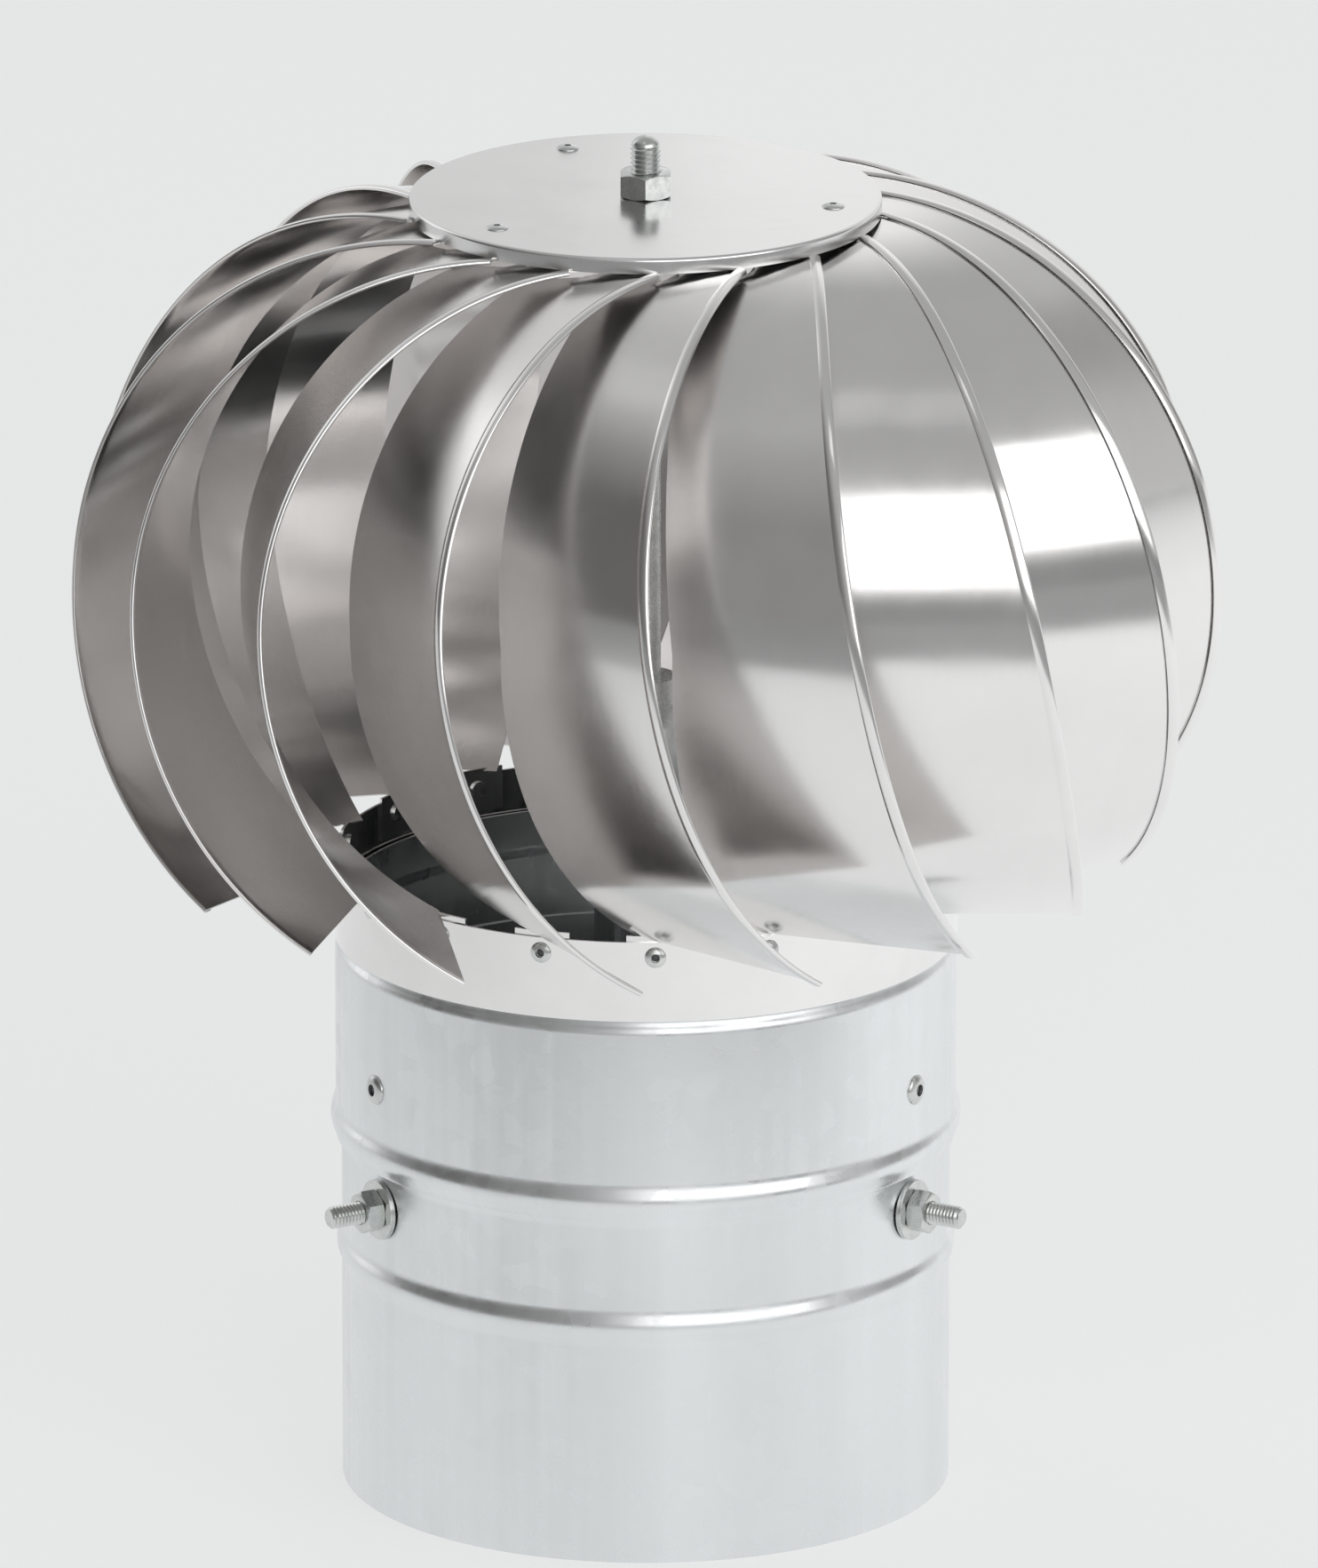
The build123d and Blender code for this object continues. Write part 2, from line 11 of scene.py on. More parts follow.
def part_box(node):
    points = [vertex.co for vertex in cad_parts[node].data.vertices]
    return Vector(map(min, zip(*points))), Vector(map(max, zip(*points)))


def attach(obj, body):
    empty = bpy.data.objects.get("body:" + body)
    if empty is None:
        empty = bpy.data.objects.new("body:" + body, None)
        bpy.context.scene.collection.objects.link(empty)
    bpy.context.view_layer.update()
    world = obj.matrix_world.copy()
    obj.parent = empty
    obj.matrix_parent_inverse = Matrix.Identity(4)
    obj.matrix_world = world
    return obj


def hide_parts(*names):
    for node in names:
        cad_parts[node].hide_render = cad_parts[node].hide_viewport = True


bl_info = {
    "name": "Turbine Ventilator",
    "version": (1, 0, 0),
    "blender": (4, 5, 0),
    "location": "View3D > Sidebar > Ventilator",
    "description": "Dresses a roof turbine ventilator with blades, pipes, cap and fasteners",
    "category": "Object",
}

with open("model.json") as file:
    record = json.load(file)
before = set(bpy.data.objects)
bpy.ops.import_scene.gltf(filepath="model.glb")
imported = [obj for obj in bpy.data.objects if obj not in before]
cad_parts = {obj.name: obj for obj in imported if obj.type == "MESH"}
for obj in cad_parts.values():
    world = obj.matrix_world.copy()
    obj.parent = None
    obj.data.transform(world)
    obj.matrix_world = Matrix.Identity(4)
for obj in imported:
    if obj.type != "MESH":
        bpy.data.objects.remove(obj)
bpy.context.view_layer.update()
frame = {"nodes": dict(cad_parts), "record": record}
BLADE_COUNT = sum(name.startswith("blade_") and name[6:].isdigit() for name in frame["nodes"])
MM = 0.001
BASE, ROTOR = "base", "rotor"
SAME_PLACE = 1e-6
SHARP_EDGE = radians(32.0)


def length(name, description, millimetres):
    """A size, in metres as Blender keeps it."""
    return FloatProperty(name=name, description=description, default=millimetres * MM,
                         unit="LENGTH", precision=5)


def tint(name, description, value):
    return FloatVectorProperty(name=name, description=description, default=value,
                               subtype="COLOR", size=3, min=0, max=1)


def share(name, description, value):
    return FloatProperty(name=name, description=description, default=value,
                         subtype="FACTOR", min=0, max=1)


class VentilatorSizes(bpy.types.PropertyGroup):
    """Sizes of the sheet-metal pieces."""
    sheet: length("Pipe sheet", "Thickness of the pipe and ring sheet", 0.7)
    pipe_radius: length("Pipe radius", "Outer radius of the spigot pipe", 80.0)
    pipe_top: length("Pipe top", "Height of the pipe's hidden upper end", 128.0)
    neck_radius: length("Neck radius", "Outer radius of the neck", 81.5)
    neck_foot: length("Neck foot", "Height of the neck's lower edge", 94.0)
    neck_shoulder: length("Neck shoulder", "Height where the neck is drawn in", 145.5)
    lip_radius: length("Lip radius", "Outer radius of the neck's lip", 80.3)
    neck_top: length("Neck top", "Height of the lip's upper edge", 158.0)
    lower_bead: length("Lower bead", "Height of the spigot's bead", 64.0)
    upper_bead: length("Upper bead", "Height of the neck's bead", 98.8)
    bead_height: length("Bead height", "How far a bead stands out", 1.4)
    bead_width: length("Bead width", "Width of a bead", 8.0)
    ring_radius: length("Ring radius", "Outer radius of the rotor ring", 81.7)
    ring_foot: length("Ring foot", "Height of the rotor ring's lower edge", 148.5)
    ring_top: length("Ring top", "Height of the rotor ring's upper edge", 170.0)
    cap_radius: length("Cap radius", "Outer radius of the cap", 61.5)
    cap_top: length("Cap top", "Height of the cap's upper face", 348.0)
    cap_rim: length("Cap rim", "Depth of the cap's turned-down rim", 4.1)
    cap_sheet: length("Cap sheet", "Thickness of the cap", 0.8)


class BladeForm(bpy.types.PropertyGroup):
    """The form of one blade: a tapered strip rolled on two arcs."""
    sheet: length("Sheet", "Thickness of the blade sheet", 0.5)
    stack: length("Hem stack", "Thickness through the folded hem", 1.1)
    proud: length("Hem rise", "How far the hem stands out of the outer face", 0.5)
    hem: length("Hem width", "Width of the folded hem", 3.2)
    swell: length("Hem swell", "How far the hem's fold is rounded up between its edges", 0.3)
    reach: length("Reach", "Distance of the outer face from the axis, along its lean", 153.0)
    waist: length("Waist", "Height where the two arcs meet", 259.0)
    upper_roll: length("Upper roll", "Radius of the upper arc", 84.5)
    lower_roll: length("Lower roll", "Radius of the lower arc", 102.5)
    foot: length("Foot", "Height of the level cut at the foot", 170.5)
    root: length("Root radius", "Radius at which the strip narrows to its tab", 60.0)
    tab_start: length("Tab start", "Place of the upper tab across the strip", 52.0)
    tab_width: length("Tab width", "Width of the upper tab", 10.0)
    tab_length: length("Tab length", "Level length of the upper tab", 8.0)
    tilt: FloatProperty(name="Lean", description="Lean of the blade from the tangent",
                        default=radians(43.5), subtype="ANGLE")
    phase: FloatProperty(name="Phase", description="Turn of the first blade from the front",
                         default=radians(2.5), subtype="ANGLE")
    steps_up: IntProperty(name="Upper steps", description="Divisions of the upper arc", default=44)
    steps_down: IntProperty(name="Lower steps", description="Divisions of the lower arc",
                            default=34)


class Finishes(bpy.types.PropertyGroup):
    """Colours and gloss of the metals."""
    galvanised: tint("Galvanised sheet", "Colour of the galvanised pipes", (0.83, 0.85, 0.86))
    galvanised_rough: share("Galvanised roughness", "Mean roughness of the pipes", 0.30)
    mirror: tint("Polished sheet", "Colour of the polished blades", (0.86, 0.85, 0.845))
    # The inner faces are tinted darker and a little warmer than the outer ones
    inner: tint("Inner side", "Tint of the blades' duller inner side", (0.89, 0.875, 0.865))
    mirror_rough: share("Polished roughness", "Mean roughness of the blades", 0.18)
    ring_rough: share("Ring roughness", "Mean roughness of the rotor ring", 0.07)
    cap: tint("Cap", "Colour of the satin cap", (0.80, 0.80, 0.795))
    cap_rough: share("Cap roughness", "Mean roughness of the cap", 0.20)
    zinc: tint("Zinc plate", "Colour of the plated fasteners", (0.66, 0.68, 0.68))
    zinc_rough: share("Zinc roughness", "Mean roughness of the fasteners", 0.24)
    steel: tint("Bearing steel", "Colour of the ground bearing rings", (0.62, 0.62, 0.63))
    seal: tint("Seal", "Colour of the seals", (0.03, 0.03, 0.03))
    cage: tint("Cage", "Colour of the bearing cages", (0.78, 0.74, 0.62))
    spring: tint("Spring steel", "Colour of the circlips", (0.12, 0.12, 0.13))


class Studio(bpy.types.PropertyGroup):
    """Floor, light and camera."""
    floor: tint("Floor", "Colour of the floor", (0.80, 0.81, 0.81))
    floor_glow: share("Floor evenness", "How much of the floor is evenly pale", 0.60)
    ceiling: share("Ceiling grey", "How light the studio is overhead", 0.43)
    room: share("Room grey", "How light the room's floor is beyond the table", 0.28)
    view: FloatProperty(name="Floor in view", description="Level of the floor to the camera",
                        default=1.29)
    table_left: FloatProperty(name="Table left", description="Level of the table's left end",
                              default=1.09)
    table_right: FloatProperty(name="Table right", description="Level of the table's right end",
                               default=1.63)
    distance: FloatProperty(name="Camera distance", description="From the aim to the camera",
                            default=6.0, unit="LENGTH")
    elevation: FloatProperty(name="Camera elevation", description="Angle above the level",
                             default=radians(17.0), subtype="ANGLE")
    lens: FloatProperty(name="Lens", description="Focal length for a 36 mm sensor", default=526.2,
                        unit="CAMERA")
    aim_x: length("Aim across", "Sideways place of the aim", 3.5)
    aim_z: length("Aim height", "Height of the aim", 188.0)


# Shapes

# A blind rivet, as shares of its shank's radius: the depth of its hole and its tail's radius
HOLE_DEPTH = 0.5
TAIL_SPREAD = 1.5
# Thickness of its tail, and how far its head goes below z = 0
TAIL_BULB = 0.0007
HEAD_SINK = 0.0001
# The broken stem: its share of the hole's radius, its sloping edge and its depth
STEM_FIT = 0.9
STEM_EDGE = 0.0003
STEM_DEPTH = 0.001
# Nuts and bolt heads: the flat face's share of half the flats, and the slope of the corners
FACE_SHARE = 0.97
CORNER_SLOPE = tan(radians(30))
BORE_LEAD = 0.0004
# Depth of a thread as a share of its pitch, and how far under its root its end is chamfered
THREAD_DEPTH = 0.6
THREAD_END = 0.0001
CUT_SLACK = 1e-7


def outline(bm, points, closed=False):
    """A wire through (radius, height) points; a third value rounds that corner."""
    verts = [bm.verts.new((point[0], 0, point[1])) for point in points]
    for pair in list(zip(verts, verts[1:])) + ([(verts[-1], verts[0])] if closed else []):
        bm.edges.new(pair)
    for vert, point in zip(verts, points):
        if len(point) > 2:
            bmesh.ops.bevel(bm, geom=[vert], offset=point[2], offset_type="OFFSET", segments=5,
                            profile=0.5, affect="VERTICES", material=-1)


def spin_about_z(bm, angle=tau, steps=144, start=0.0):
    """Turns the whole wire about Z and closes it where the turn is full."""
    bmesh.ops.rotate(bm, verts=bm.verts, cent=(0, 0, 0), matrix=Matrix.Rotation(start, 3, "Z"))
    bmesh.ops.spin(bm, geom=bm.verts[:] + bm.edges[:], cent=(0, 0, 0), axis=(0, 0, 1),
                   dvec=(0, 0, 0), angle=angle, steps=steps, use_merge=angle >= tau,
                   use_normal_flip=False, use_duplicate=False)
    bmesh.ops.remove_doubles(bm, verts=bm.verts, dist=SAME_PLACE)
    bmesh.ops.recalc_face_normals(bm, faces=bm.faces)


def face_outwards(bm):
    """Turns a spun wall's faces round if most of them look towards the axis."""
    outward = sum((f.normal.dot((f.calc_center_median().x, f.calc_center_median().y, 0))
                   for f in bm.faces), 0.0)
    if outward < 0:
        bmesh.ops.reverse_faces(bm, faces=bm.faces)


def spun_wall(points, thickness, steps=144, angle=tau, start=0.0):
    """A spun sheet-metal wall whose outer face follows the points."""
    bm = bmesh.new()
    outline(bm, points)
    spin_about_z(bm, angle, steps, start)
    face_outwards(bm)
    bmesh.ops.solidify(bm, geom=bm.faces[:], thickness=thickness)
    return bm


def spun_solid(points, steps=48):
    """A closed solid of revolution from an outline that starts and ends on the axis."""
    bm = bmesh.new()
    outline(bm, points)
    spin_about_z(bm, steps=steps)
    return bm


def spun_ring(points, steps=48):
    """A closed ring from a closed outline off the axis."""
    bm = bmesh.new()
    outline(bm, points, closed=True)
    spin_about_z(bm, steps=steps)
    return bm


def joined(parts):
    """One mesh from several, each with its own place."""
    whole = bmesh.new()
    for part, place in parts:
        spare = bpy.data.meshes.new("spare")
        bm = part.copy()
        bm.transform(place)
        bm.to_mesh(spare)
        bm.free()
        whole.from_mesh(spare)
        bpy.data.meshes.remove(spare)
    return whole


def radial(radius, height, azimuth):
    """A frame at a radius and height whose Z points outwards; azimuth in degrees from the front."""
    a = radians(azimuth)
    outwards = Vector((sin(a), -cos(a), 0))
    across = Vector((cos(a), sin(a), 0))
    place = Matrix((across, outwards.cross(across), outwards)).transposed().to_4x4()
    place.translation = (radius * sin(a), -radius * cos(a), height)
    return place


def raised(height):
    return Matrix.Translation((0, 0, height))


def blind_rivet(rivet):
    """A domed head standing on z = 0 round its pulled stem's hole, with shank and tail below."""
    bm = bmesh.new()
    radius, rise, shank, tail, hole = rivet
    start = asin(sqrt(1 - (hole / radius) ** 2))
    dome = [(radius * cos(start * k / 7), rise * sin(start * k / 7)) for k in range(7, -1, -1)]
    outline(bm, [(0, -HOLE_DEPTH * shank), (hole, -HOLE_DEPTH * shank), *dome,
                 (radius, -HEAD_SINK), (shank, -HEAD_SINK), (shank, -tail),
                 (shank * TAIL_SPREAD, -tail), (shank * TAIL_SPREAD, -tail - TAIL_BULB),
                 (0, -tail - TAIL_BULB)])
    spin_about_z(bm, steps=28)
    return bm


def pulled_stem(hole, height):
    """What is left of the rivet's stem, broken off low in its head."""
    radius = hole * STEM_FIT
    return spun_solid([(0, height), (radius, height - STEM_EDGE), (radius, -STEM_DEPTH),
                       (0, -STEM_DEPTH)], steps=20)


def next_ring(bm, edges, move):
    """Extrudes a loop of edges and moves each new point by a rule."""
    made = bmesh.ops.extrude_edge_only(bm, edges=edges)["geom"]
    for vert in (g for g in made if isinstance(g, bmesh.types.BMVert)):
        vert.co = move(vert.co)
    return [g for g in made if isinstance(g, bmesh.types.BMEdge)
            and all(v in made for v in g.verts)]


def hexagon(flats, height, bore=0.0):
    """A nut or bolt head standing on z = 0, its corners turned to chamfers at both ends."""
    bm = bmesh.new()
    corner = flats / sqrt(3)
    face = flats / 2 * FACE_SHARE
    bmesh.ops.create_circle(bm, segments=6, radius=corner, cap_ends=False)
    bmesh.ops.subdivide_edges(bm, edges=bm.edges[:], cuts=9)

    def chamfer(point):
        return max(0.0, hypot(point.x, point.y) - face) * CORNER_SLOPE

    def at(radius, z):
        return lambda p: Vector((p.x, p.y, 0)).normalized() * radius + Vector((0, 0, z))

    for vert in bm.verts:
        vert.co.z = chamfer(vert.co)
    low = list(bm.edges)
    up = next_ring(bm, low, lambda p: Vector((p.x, p.y, height - chamfer(p))))
    up = next_ring(bm, up, at(face, height))
    foot = next_ring(bm, low, at(face, 0))
    if bore:
        lead = bore + BORE_LEAD
        up = next_ring(bm, up, at(lead, height))
        up = next_ring(bm, up, at(bore, height - BORE_LEAD))
        foot = next_ring(bm, foot, at(lead, 0))
        foot = next_ring(bm, foot, at(bore, BORE_LEAD))
        bmesh.ops.bridge_loops(bm, edges=up + foot)
    else:
        for loop in (up, foot):
            bmesh.ops.contextual_create(bm, geom=loop)
    bmesh.ops.recalc_face_normals(bm, faces=bm.faces)
    return bm


def thread(radius, pitch, start, end, steps=20):
    """A helical thread with a V profile, cut off square and chamfered at its end."""
    root = radius - THREAD_DEPTH * pitch
    turns = int((end - start) / pitch) + 2
    bm = bmesh.new()
    outline(bm, [(root, start - pitch), (radius, start - pitch * 0.5), (root, start)])
    bmesh.ops.spin(bm, geom=bm.verts[:] + bm.edges[:], cent=(0, 0, 0), axis=(0, 0, 1),
                   dvec=(0, 0, pitch / steps), angle=turns * tau, steps=turns * steps,
                   use_merge=False, use_normal_flip=False, use_duplicate=False)
    bmesh.ops.remove_doubles(bm, verts=bm.verts, dist=SAME_PLACE)
    for height, side in ((start, -1), (end, 1)):
        bmesh.ops.bisect_plane(bm, geom=bm.verts[:] + bm.edges[:] + bm.faces[:], dist=CUT_SLACK,
                               plane_co=(0, 0, height), plane_no=(0, 0, side), clear_outer=True)
    for vert in bm.verts:
        room = root - THREAD_END + max(0.0, end - vert.co.z)
        spread = hypot(vert.co.x, vert.co.y)
        if spread > room:
            vert.co.x *= room / spread
            vert.co.y *= room / spread
    for height in (start, end):
        rim = [e for e in bm.edges if e.is_boundary
               and all(abs(v.co.z - height) < SAME_PLACE for v in e.verts)]
        bmesh.ops.contextual_create(bm, geom=rim)
    bmesh.ops.recalc_face_normals(bm, faces=bm.faces)
    return bm


def show(bm, name, body, nodes, slot, look=None):
    """Makes the finished piece, shades it, sets it on what it rides on and hides the CAD nodes it
    stands for.
    """
    mesh = bpy.data.meshes.new(name)
    bm.to_mesh(mesh)
    bm.free()
    mesh.shade_smooth()
    mesh.set_sharp_from_angle(angle=SHARP_EDGE)
    mesh.materials.append(finish(look or slot))
    piece = bpy.data.objects.new(name, mesh)
    bpy.context.scene.collection.objects.link(piece)
    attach(piece, body)
    if nodes:
        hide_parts(*nodes)
    return piece


# Finishes

class Nodes:
    """Short ways to add and join the nodes of a material or a world."""

    # Where a Mix node has its first and second value and its result, by what it mixes
    MIX_SOCKETS = {"FLOAT": (2, 3, 0), "VECTOR": (4, 5, 1), "RGBA": (6, 7, 2)}

    def __init__(self, holder):
        holder.use_nodes = True
        self.holder = holder
        self.tree = holder.node_tree
        self.shader = self.tree.nodes.get("Principled BSDF")

    def add(self, kind, settings=None, **inputs):
        node = self.tree.nodes.new("ShaderNode" + kind)
        for key, value in (settings or {}).items():
            setattr(node, key, value)
        for key, value in inputs.items():
            self.join(value, node.inputs[key.replace("_", " ")])
        return node

    def join(self, value, socket):
        if isinstance(value, bpy.types.NodeSocket):
            self.tree.links.new(value, socket)
        else:
            socket.default_value = value

    def place(self, scale=(1, 1, 1), turn=(0, 0, 0), uv=False):
        source = self.add("TexCoord").outputs["UV" if uv else "Object"]
        node = self.add("Mapping", Vector=source)
        node.inputs["Scale"].default_value = scale
        node.inputs["Rotation"].default_value = turn
        return node.outputs["Vector"]

    def noise(self, where, scale=1.0, detail=2.0, roughness=0.5):
        return self.add("TexNoise", None, Vector=where, Scale=scale, Detail=detail,
                        Roughness=roughness).outputs["Fac"]

    def span(self, value, low, high, start=0.0, end=1.0):
        """The value's stretch from start to end, spread from low to high."""
        return self.add("MapRange", None, Value=value, From_Min=start, From_Max=end,
                        To_Min=low, To_Max=high).outputs["Result"]

    def calc(self, first, second, operation="ADD"):
        node = self.add("Math", {"operation": operation})
        self.join(first, node.inputs[0])
        self.join(second, node.inputs[1])
        return node.outputs[0]

    def mix(self, factor, first, second, kind="RGBA", blend="MIX"):
        node = self.add("Mix", {"data_type": kind, "blend_type": blend})
        low, high, result = self.MIX_SOCKETS[kind]
        self.join(factor, node.inputs[0])
        self.join(first, node.inputs[low])
        self.join(second, node.inputs[high])
        return node.outputs[result]

    def shades(self, value, dark, light):
        return self.mix(value, (*dark, 1), (*light, 1))

    def bump(self, height, distance, strength=1.0, under=None):
        node = self.add("Bump", None, Height=height, Distance=distance, Strength=strength)
        if under:
            self.join(under, node.inputs["Normal"])
        return node.outputs["Normal"]

    def done(self, colour, roughness, normal=None, metallic=1.0, **extra):
        self.join(colour, self.shader.inputs["Base Color"])
        self.join(roughness, self.shader.inputs["Roughness"])
        self.shader.inputs["Metallic"].default_value = metallic
        if normal:
            self.join(normal, self.shader.inputs["Normal"])
        for key, value in extra.items():
            self.join(value, self.shader.inputs[key.replace("_", " ")])
        return self.holder


def new_material(name):
    return Nodes(bpy.data.materials.new(name))


def scaled(colour, factor):
    return tuple(min(1.0, c * factor) for c in colour)


def polish_rough(n, smudge, grain, mean):
    """Roughness of polished sheet: a little more in its smudges and along its grain."""
    smudged = n.span(smudge, -0.02, 0.03, start=0.4, end=0.7)
    grained = n.span(grain, -0.015, 0.02, start=0.3, end=0.7)
    return n.calc(n.calc(smudged, grained), mean)


def blade_finish(looks):
    """Mirror-polished sheet with the mill's grain along the strip and faint waves from rolling."""
    n = new_material("polished blade sheet")
    strip = n.place(uv=True)
    body = n.place()
    smudge = n.noise(body, scale=34, detail=4, roughness=0.6)
    grain = n.noise(n.place((2600, 45, 1), uv=True), roughness=0.7)
    polish = n.shades(n.span(smudge, 0, 1, start=0.35, end=0.7), scaled(looks.mirror, 0.95),
                      looks.mirror)
    # The inner faces are tinted darker and a little warmer than the outer ones
    inside = n.add("Attribute", {"attribute_name": INSIDE}).outputs["Fac"]
    inner_darkening = n.shades(inside, (1, 1, 1), looks.inner)
    colour = n.mix(1.0, polish, inner_darkening, blend="MULTIPLY")
    rough = polish_rough(n, smudge, grain, looks.mirror_rough)
    waves = n.bump(n.noise(strip, scale=42, detail=1), distance=0.0006, strength=0.10)
    lines = n.bump(grain, distance=0.00001, strength=0.15, under=waves)
    n.join(n.add("Tangent", {"direction_type": "UV_MAP", "uv_map": STRIP}).outputs[0],
           n.shader.inputs["Tangent"])
    return n.done(colour, rough, lines, Anisotropic=0.6)


def ring_finish(looks):
    """The same sheet bent to a ring: grain runs round it."""
    n = new_material("polished ring sheet")
    body = n.place()
    smudge = n.noise(body, scale=40, detail=4, roughness=0.6)
    grain = n.noise(n.place((12, 12, 2400)), roughness=0.7)
    colour = n.shades(n.span(smudge, 0, 1, start=0.35, end=0.7), scaled(looks.mirror, 0.94),
                      looks.mirror)
    rough = polish_rough(n, smudge, grain, looks.ring_rough)
    waves = n.bump(n.noise(body, scale=30, detail=1), distance=0.0006, strength=0.12)
    return n.done(colour, rough, n.bump(grain, distance=0.00001, strength=0.2, under=waves))


def cap_finish(looks):
    """Satin mirror sheet, cut from a rolled plate, with one-way grain and light handling marks."""
    n = new_material("satin cap sheet")
    body = n.place()
    smudge = n.noise(body, scale=46, detail=5, roughness=0.65)
    grain = n.noise(n.place((60, 3200, 60)), roughness=0.7)
    marks = n.noise(n.place((90, 900, 90), turn=(0, 0, 0.6)), detail=1, roughness=0.4)
    colour = n.shades(n.span(smudge, 0, 1, start=0.35, end=0.7), scaled(looks.cap, 0.95),
                      looks.cap)
    rough = n.calc(n.span(smudge, -0.03, 0.04, start=0.4, end=0.7),
                   n.span(marks, 0.0, 0.05, start=0.6, end=0.75))
    rough = n.calc(rough, looks.cap_rough)
    return n.done(colour, rough, n.bump(grain, distance=0.000015, strength=0.2))


def galvanised_finish(looks):
    """Hot-dip galvanised sheet: small flat spangle, faint drawing streaks and dull patches."""
    n = new_material("galvanised sheet")
    body = n.place()
    wander = n.add("TexNoise", None, Vector=body, Scale=160, Detail=2).outputs["Color"]
    moved = n.mix(0.004, body, wander, kind="VECTOR")
    cells = n.add("TexVoronoi", {"feature": "F1"}, Vector=moved, Scale=150)
    flake = n.add("SeparateColor", None, Color=cells.outputs["Color"]).outputs[0]
    cloud = n.noise(body, scale=16, detail=4, roughness=0.6)
    streak = n.noise(n.place((260, 260, 7)), detail=3, roughness=0.6)
    drawn = n.noise(n.place((24, 24, 1.5)))
    tone = n.calc(n.span(flake, 0, 0.2), n.span(cloud, 0, 0.3, start=0.35, end=0.68))
    tone = n.calc(tone, n.span(drawn, 0, 0.5, start=0.3, end=0.7))
    colour = n.shades(tone, scaled(looks.galvanised, 0.88), scaled(looks.galvanised, 1.04))
    rough = n.calc(n.span(flake, -0.05, 0.05), n.span(streak, -0.03, 0.05, start=0.3, end=0.7))
    rough = n.calc(rough, n.span(cloud, -0.03, 0.05, start=0.35, end=0.7))
    rough = n.calc(rough, looks.galvanised_rough)
    peel = n.bump(n.noise(body, scale=900, detail=3, roughness=0.6), distance=0.00006,
                  strength=0.25)
    return n.done(colour, rough, n.bump(flake, distance=0.00002, strength=0.2, under=peel))


def zinc_finish(looks):
    """Bright zinc plate over rolled steel, a little yellow and blue by turns."""
    n = new_material("bright zinc plate")
    body = n.place()
    film = n.noise(body, scale=190, detail=3, roughness=0.6)
    red, green, blue = looks.zinc
    colour = n.shades(n.span(film, 0, 1, start=0.3, end=0.7), scaled(looks.zinc, 0.86),
                      (min(1, red * 1.06), green * 1.05, blue * 1.02))
    pits = n.noise(body, scale=620, detail=3, roughness=0.6)
    rough = n.calc(n.span(pits, -0.06, 0.10, start=0.35, end=0.7), looks.zinc_rough)
    return n.done(colour, rough, n.bump(n.noise(body, scale=2400), distance=0.00002,
                                        strength=0.25))


def steel_finish(looks):
    """Ground steel with fine lines round the bearing's axis."""
    n = new_material("ground bearing steel")
    lines = n.noise(n.place((30, 30, 5200)), roughness=0.6)
    colour = n.shades(n.span(lines, 0, 1, start=0.3, end=0.7), scaled(looks.steel, 0.93),
                      looks.steel)
    return n.done(colour, n.span(lines, 0.10, 0.2, start=0.3, end=0.7),
                  n.bump(lines, distance=0.00001, strength=0.1))


def plain_finish(name, colour, roughness, metallic=0.0):
    """A moulded or phosphated finish with fine mottle."""
    n = new_material(name)
    body = n.place()
    mottle = n.noise(body, scale=420, detail=4, roughness=0.6)
    shade = n.shades(n.span(mottle, 0, 1, start=0.3, end=0.7), scaled(colour, 0.82),
                     scaled(colour, 1.08))
    rough = n.span(mottle, roughness - 0.06, roughness + 0.06, start=0.3, end=0.7)
    fine = n.bump(n.noise(body, scale=1800), distance=0.00004, strength=0.3)
    return n.done(shade, rough, fine, metallic)


FINISHES = {}


def finish(key):
    """The finish of a material slot, made once."""
    looks = bpy.context.scene.ventilator_finishes
    makers = {
        "blade": lambda: blade_finish(looks),
        "ring": lambda: ring_finish(looks),
        "polished_sheet": lambda: cap_finish(looks),
        "galvanised_sheet": lambda: galvanised_finish(looks),
        "zinc_plated_steel": lambda: zinc_finish(looks),
        "bearing_steel": lambda: steel_finish(looks),
        "bearing_seal": lambda: plain_finish("seal rubber", looks.seal, 0.55),
        "bearing_cage": lambda: plain_finish("natural polyamide", looks.cage, 0.42),
        "spring_steel": lambda: plain_finish("phosphated spring steel", looks.spring, 0.45, 0.8),
    }
    if key not in FINISHES:
        FINISHES[key] = makers[key]()
    return FINISHES[key]


# Blades

# The blade's UV map and the mark of its inner face, read by its finish
STRIP = "strip"
INSIDE = "inside"
# Both edges of the strip, in metres across it: at the waist, and how they move with the run
# along it and with the run squared
HEM_AT_WAIST = 0.0055
HEM_LEAN = 0.208
HEM_CURVE = 0.83
INNER_AT_WAIST = 0.058
INNER_LEAN_ABOVE = 0.11
INNER_LEAN_BELOW = -0.02
INNER_CURVE = 0.4
# Where the hem's fold has points, as parts of its width, where its swell is highest, and how
# far from there it ends
FOLD_PARTS = (0.3, 0.45, 0.6, 0.75, 0.9, 1.0)
FOLD_CREST = 0.55
FOLD_SPREAD = 0.45
# Share of half the hem's thickness that its two bends take, so that they don't quite meet
BEND_SHARE = 0.999
# The tab's divisions across, and its stages from the root to its end
TAB_DIVISIONS = 4
TAB_STAGES = (0.25, 0.6, 1.0)
# Where the root's edges are looked for
ROOT_ABOVE_WAIST = 0.07
ROOT_SLACK = 0.001
ACROSS_SLACK = 1e-5
# A place across the strip that is sheet, to see which way it faces, and the slack in depth
# within which a point is on the inner face
STRIP_MIDDLE = 0.03
INSIDE_SLACK = 0.0002
# The foot's tab: half its width, the turn of its middle, how far it starts above the foot's
# cut, and how far below the ring's top it ends
FOOT_TAB_HALF = 0.0075
FOOT_TAB_TURN = radians(1.8)
FOOT_TAB_RISE = 0.0011
FOOT_TAB_END = 0.010
# Steps of a search by halves
HALVINGS = 40


def hem_side(run):
    """Place of the hemmed edge across the strip, a length along it from the waist."""
    return HEM_AT_WAIST + HEM_LEAN * run + HEM_CURVE * run ** 2


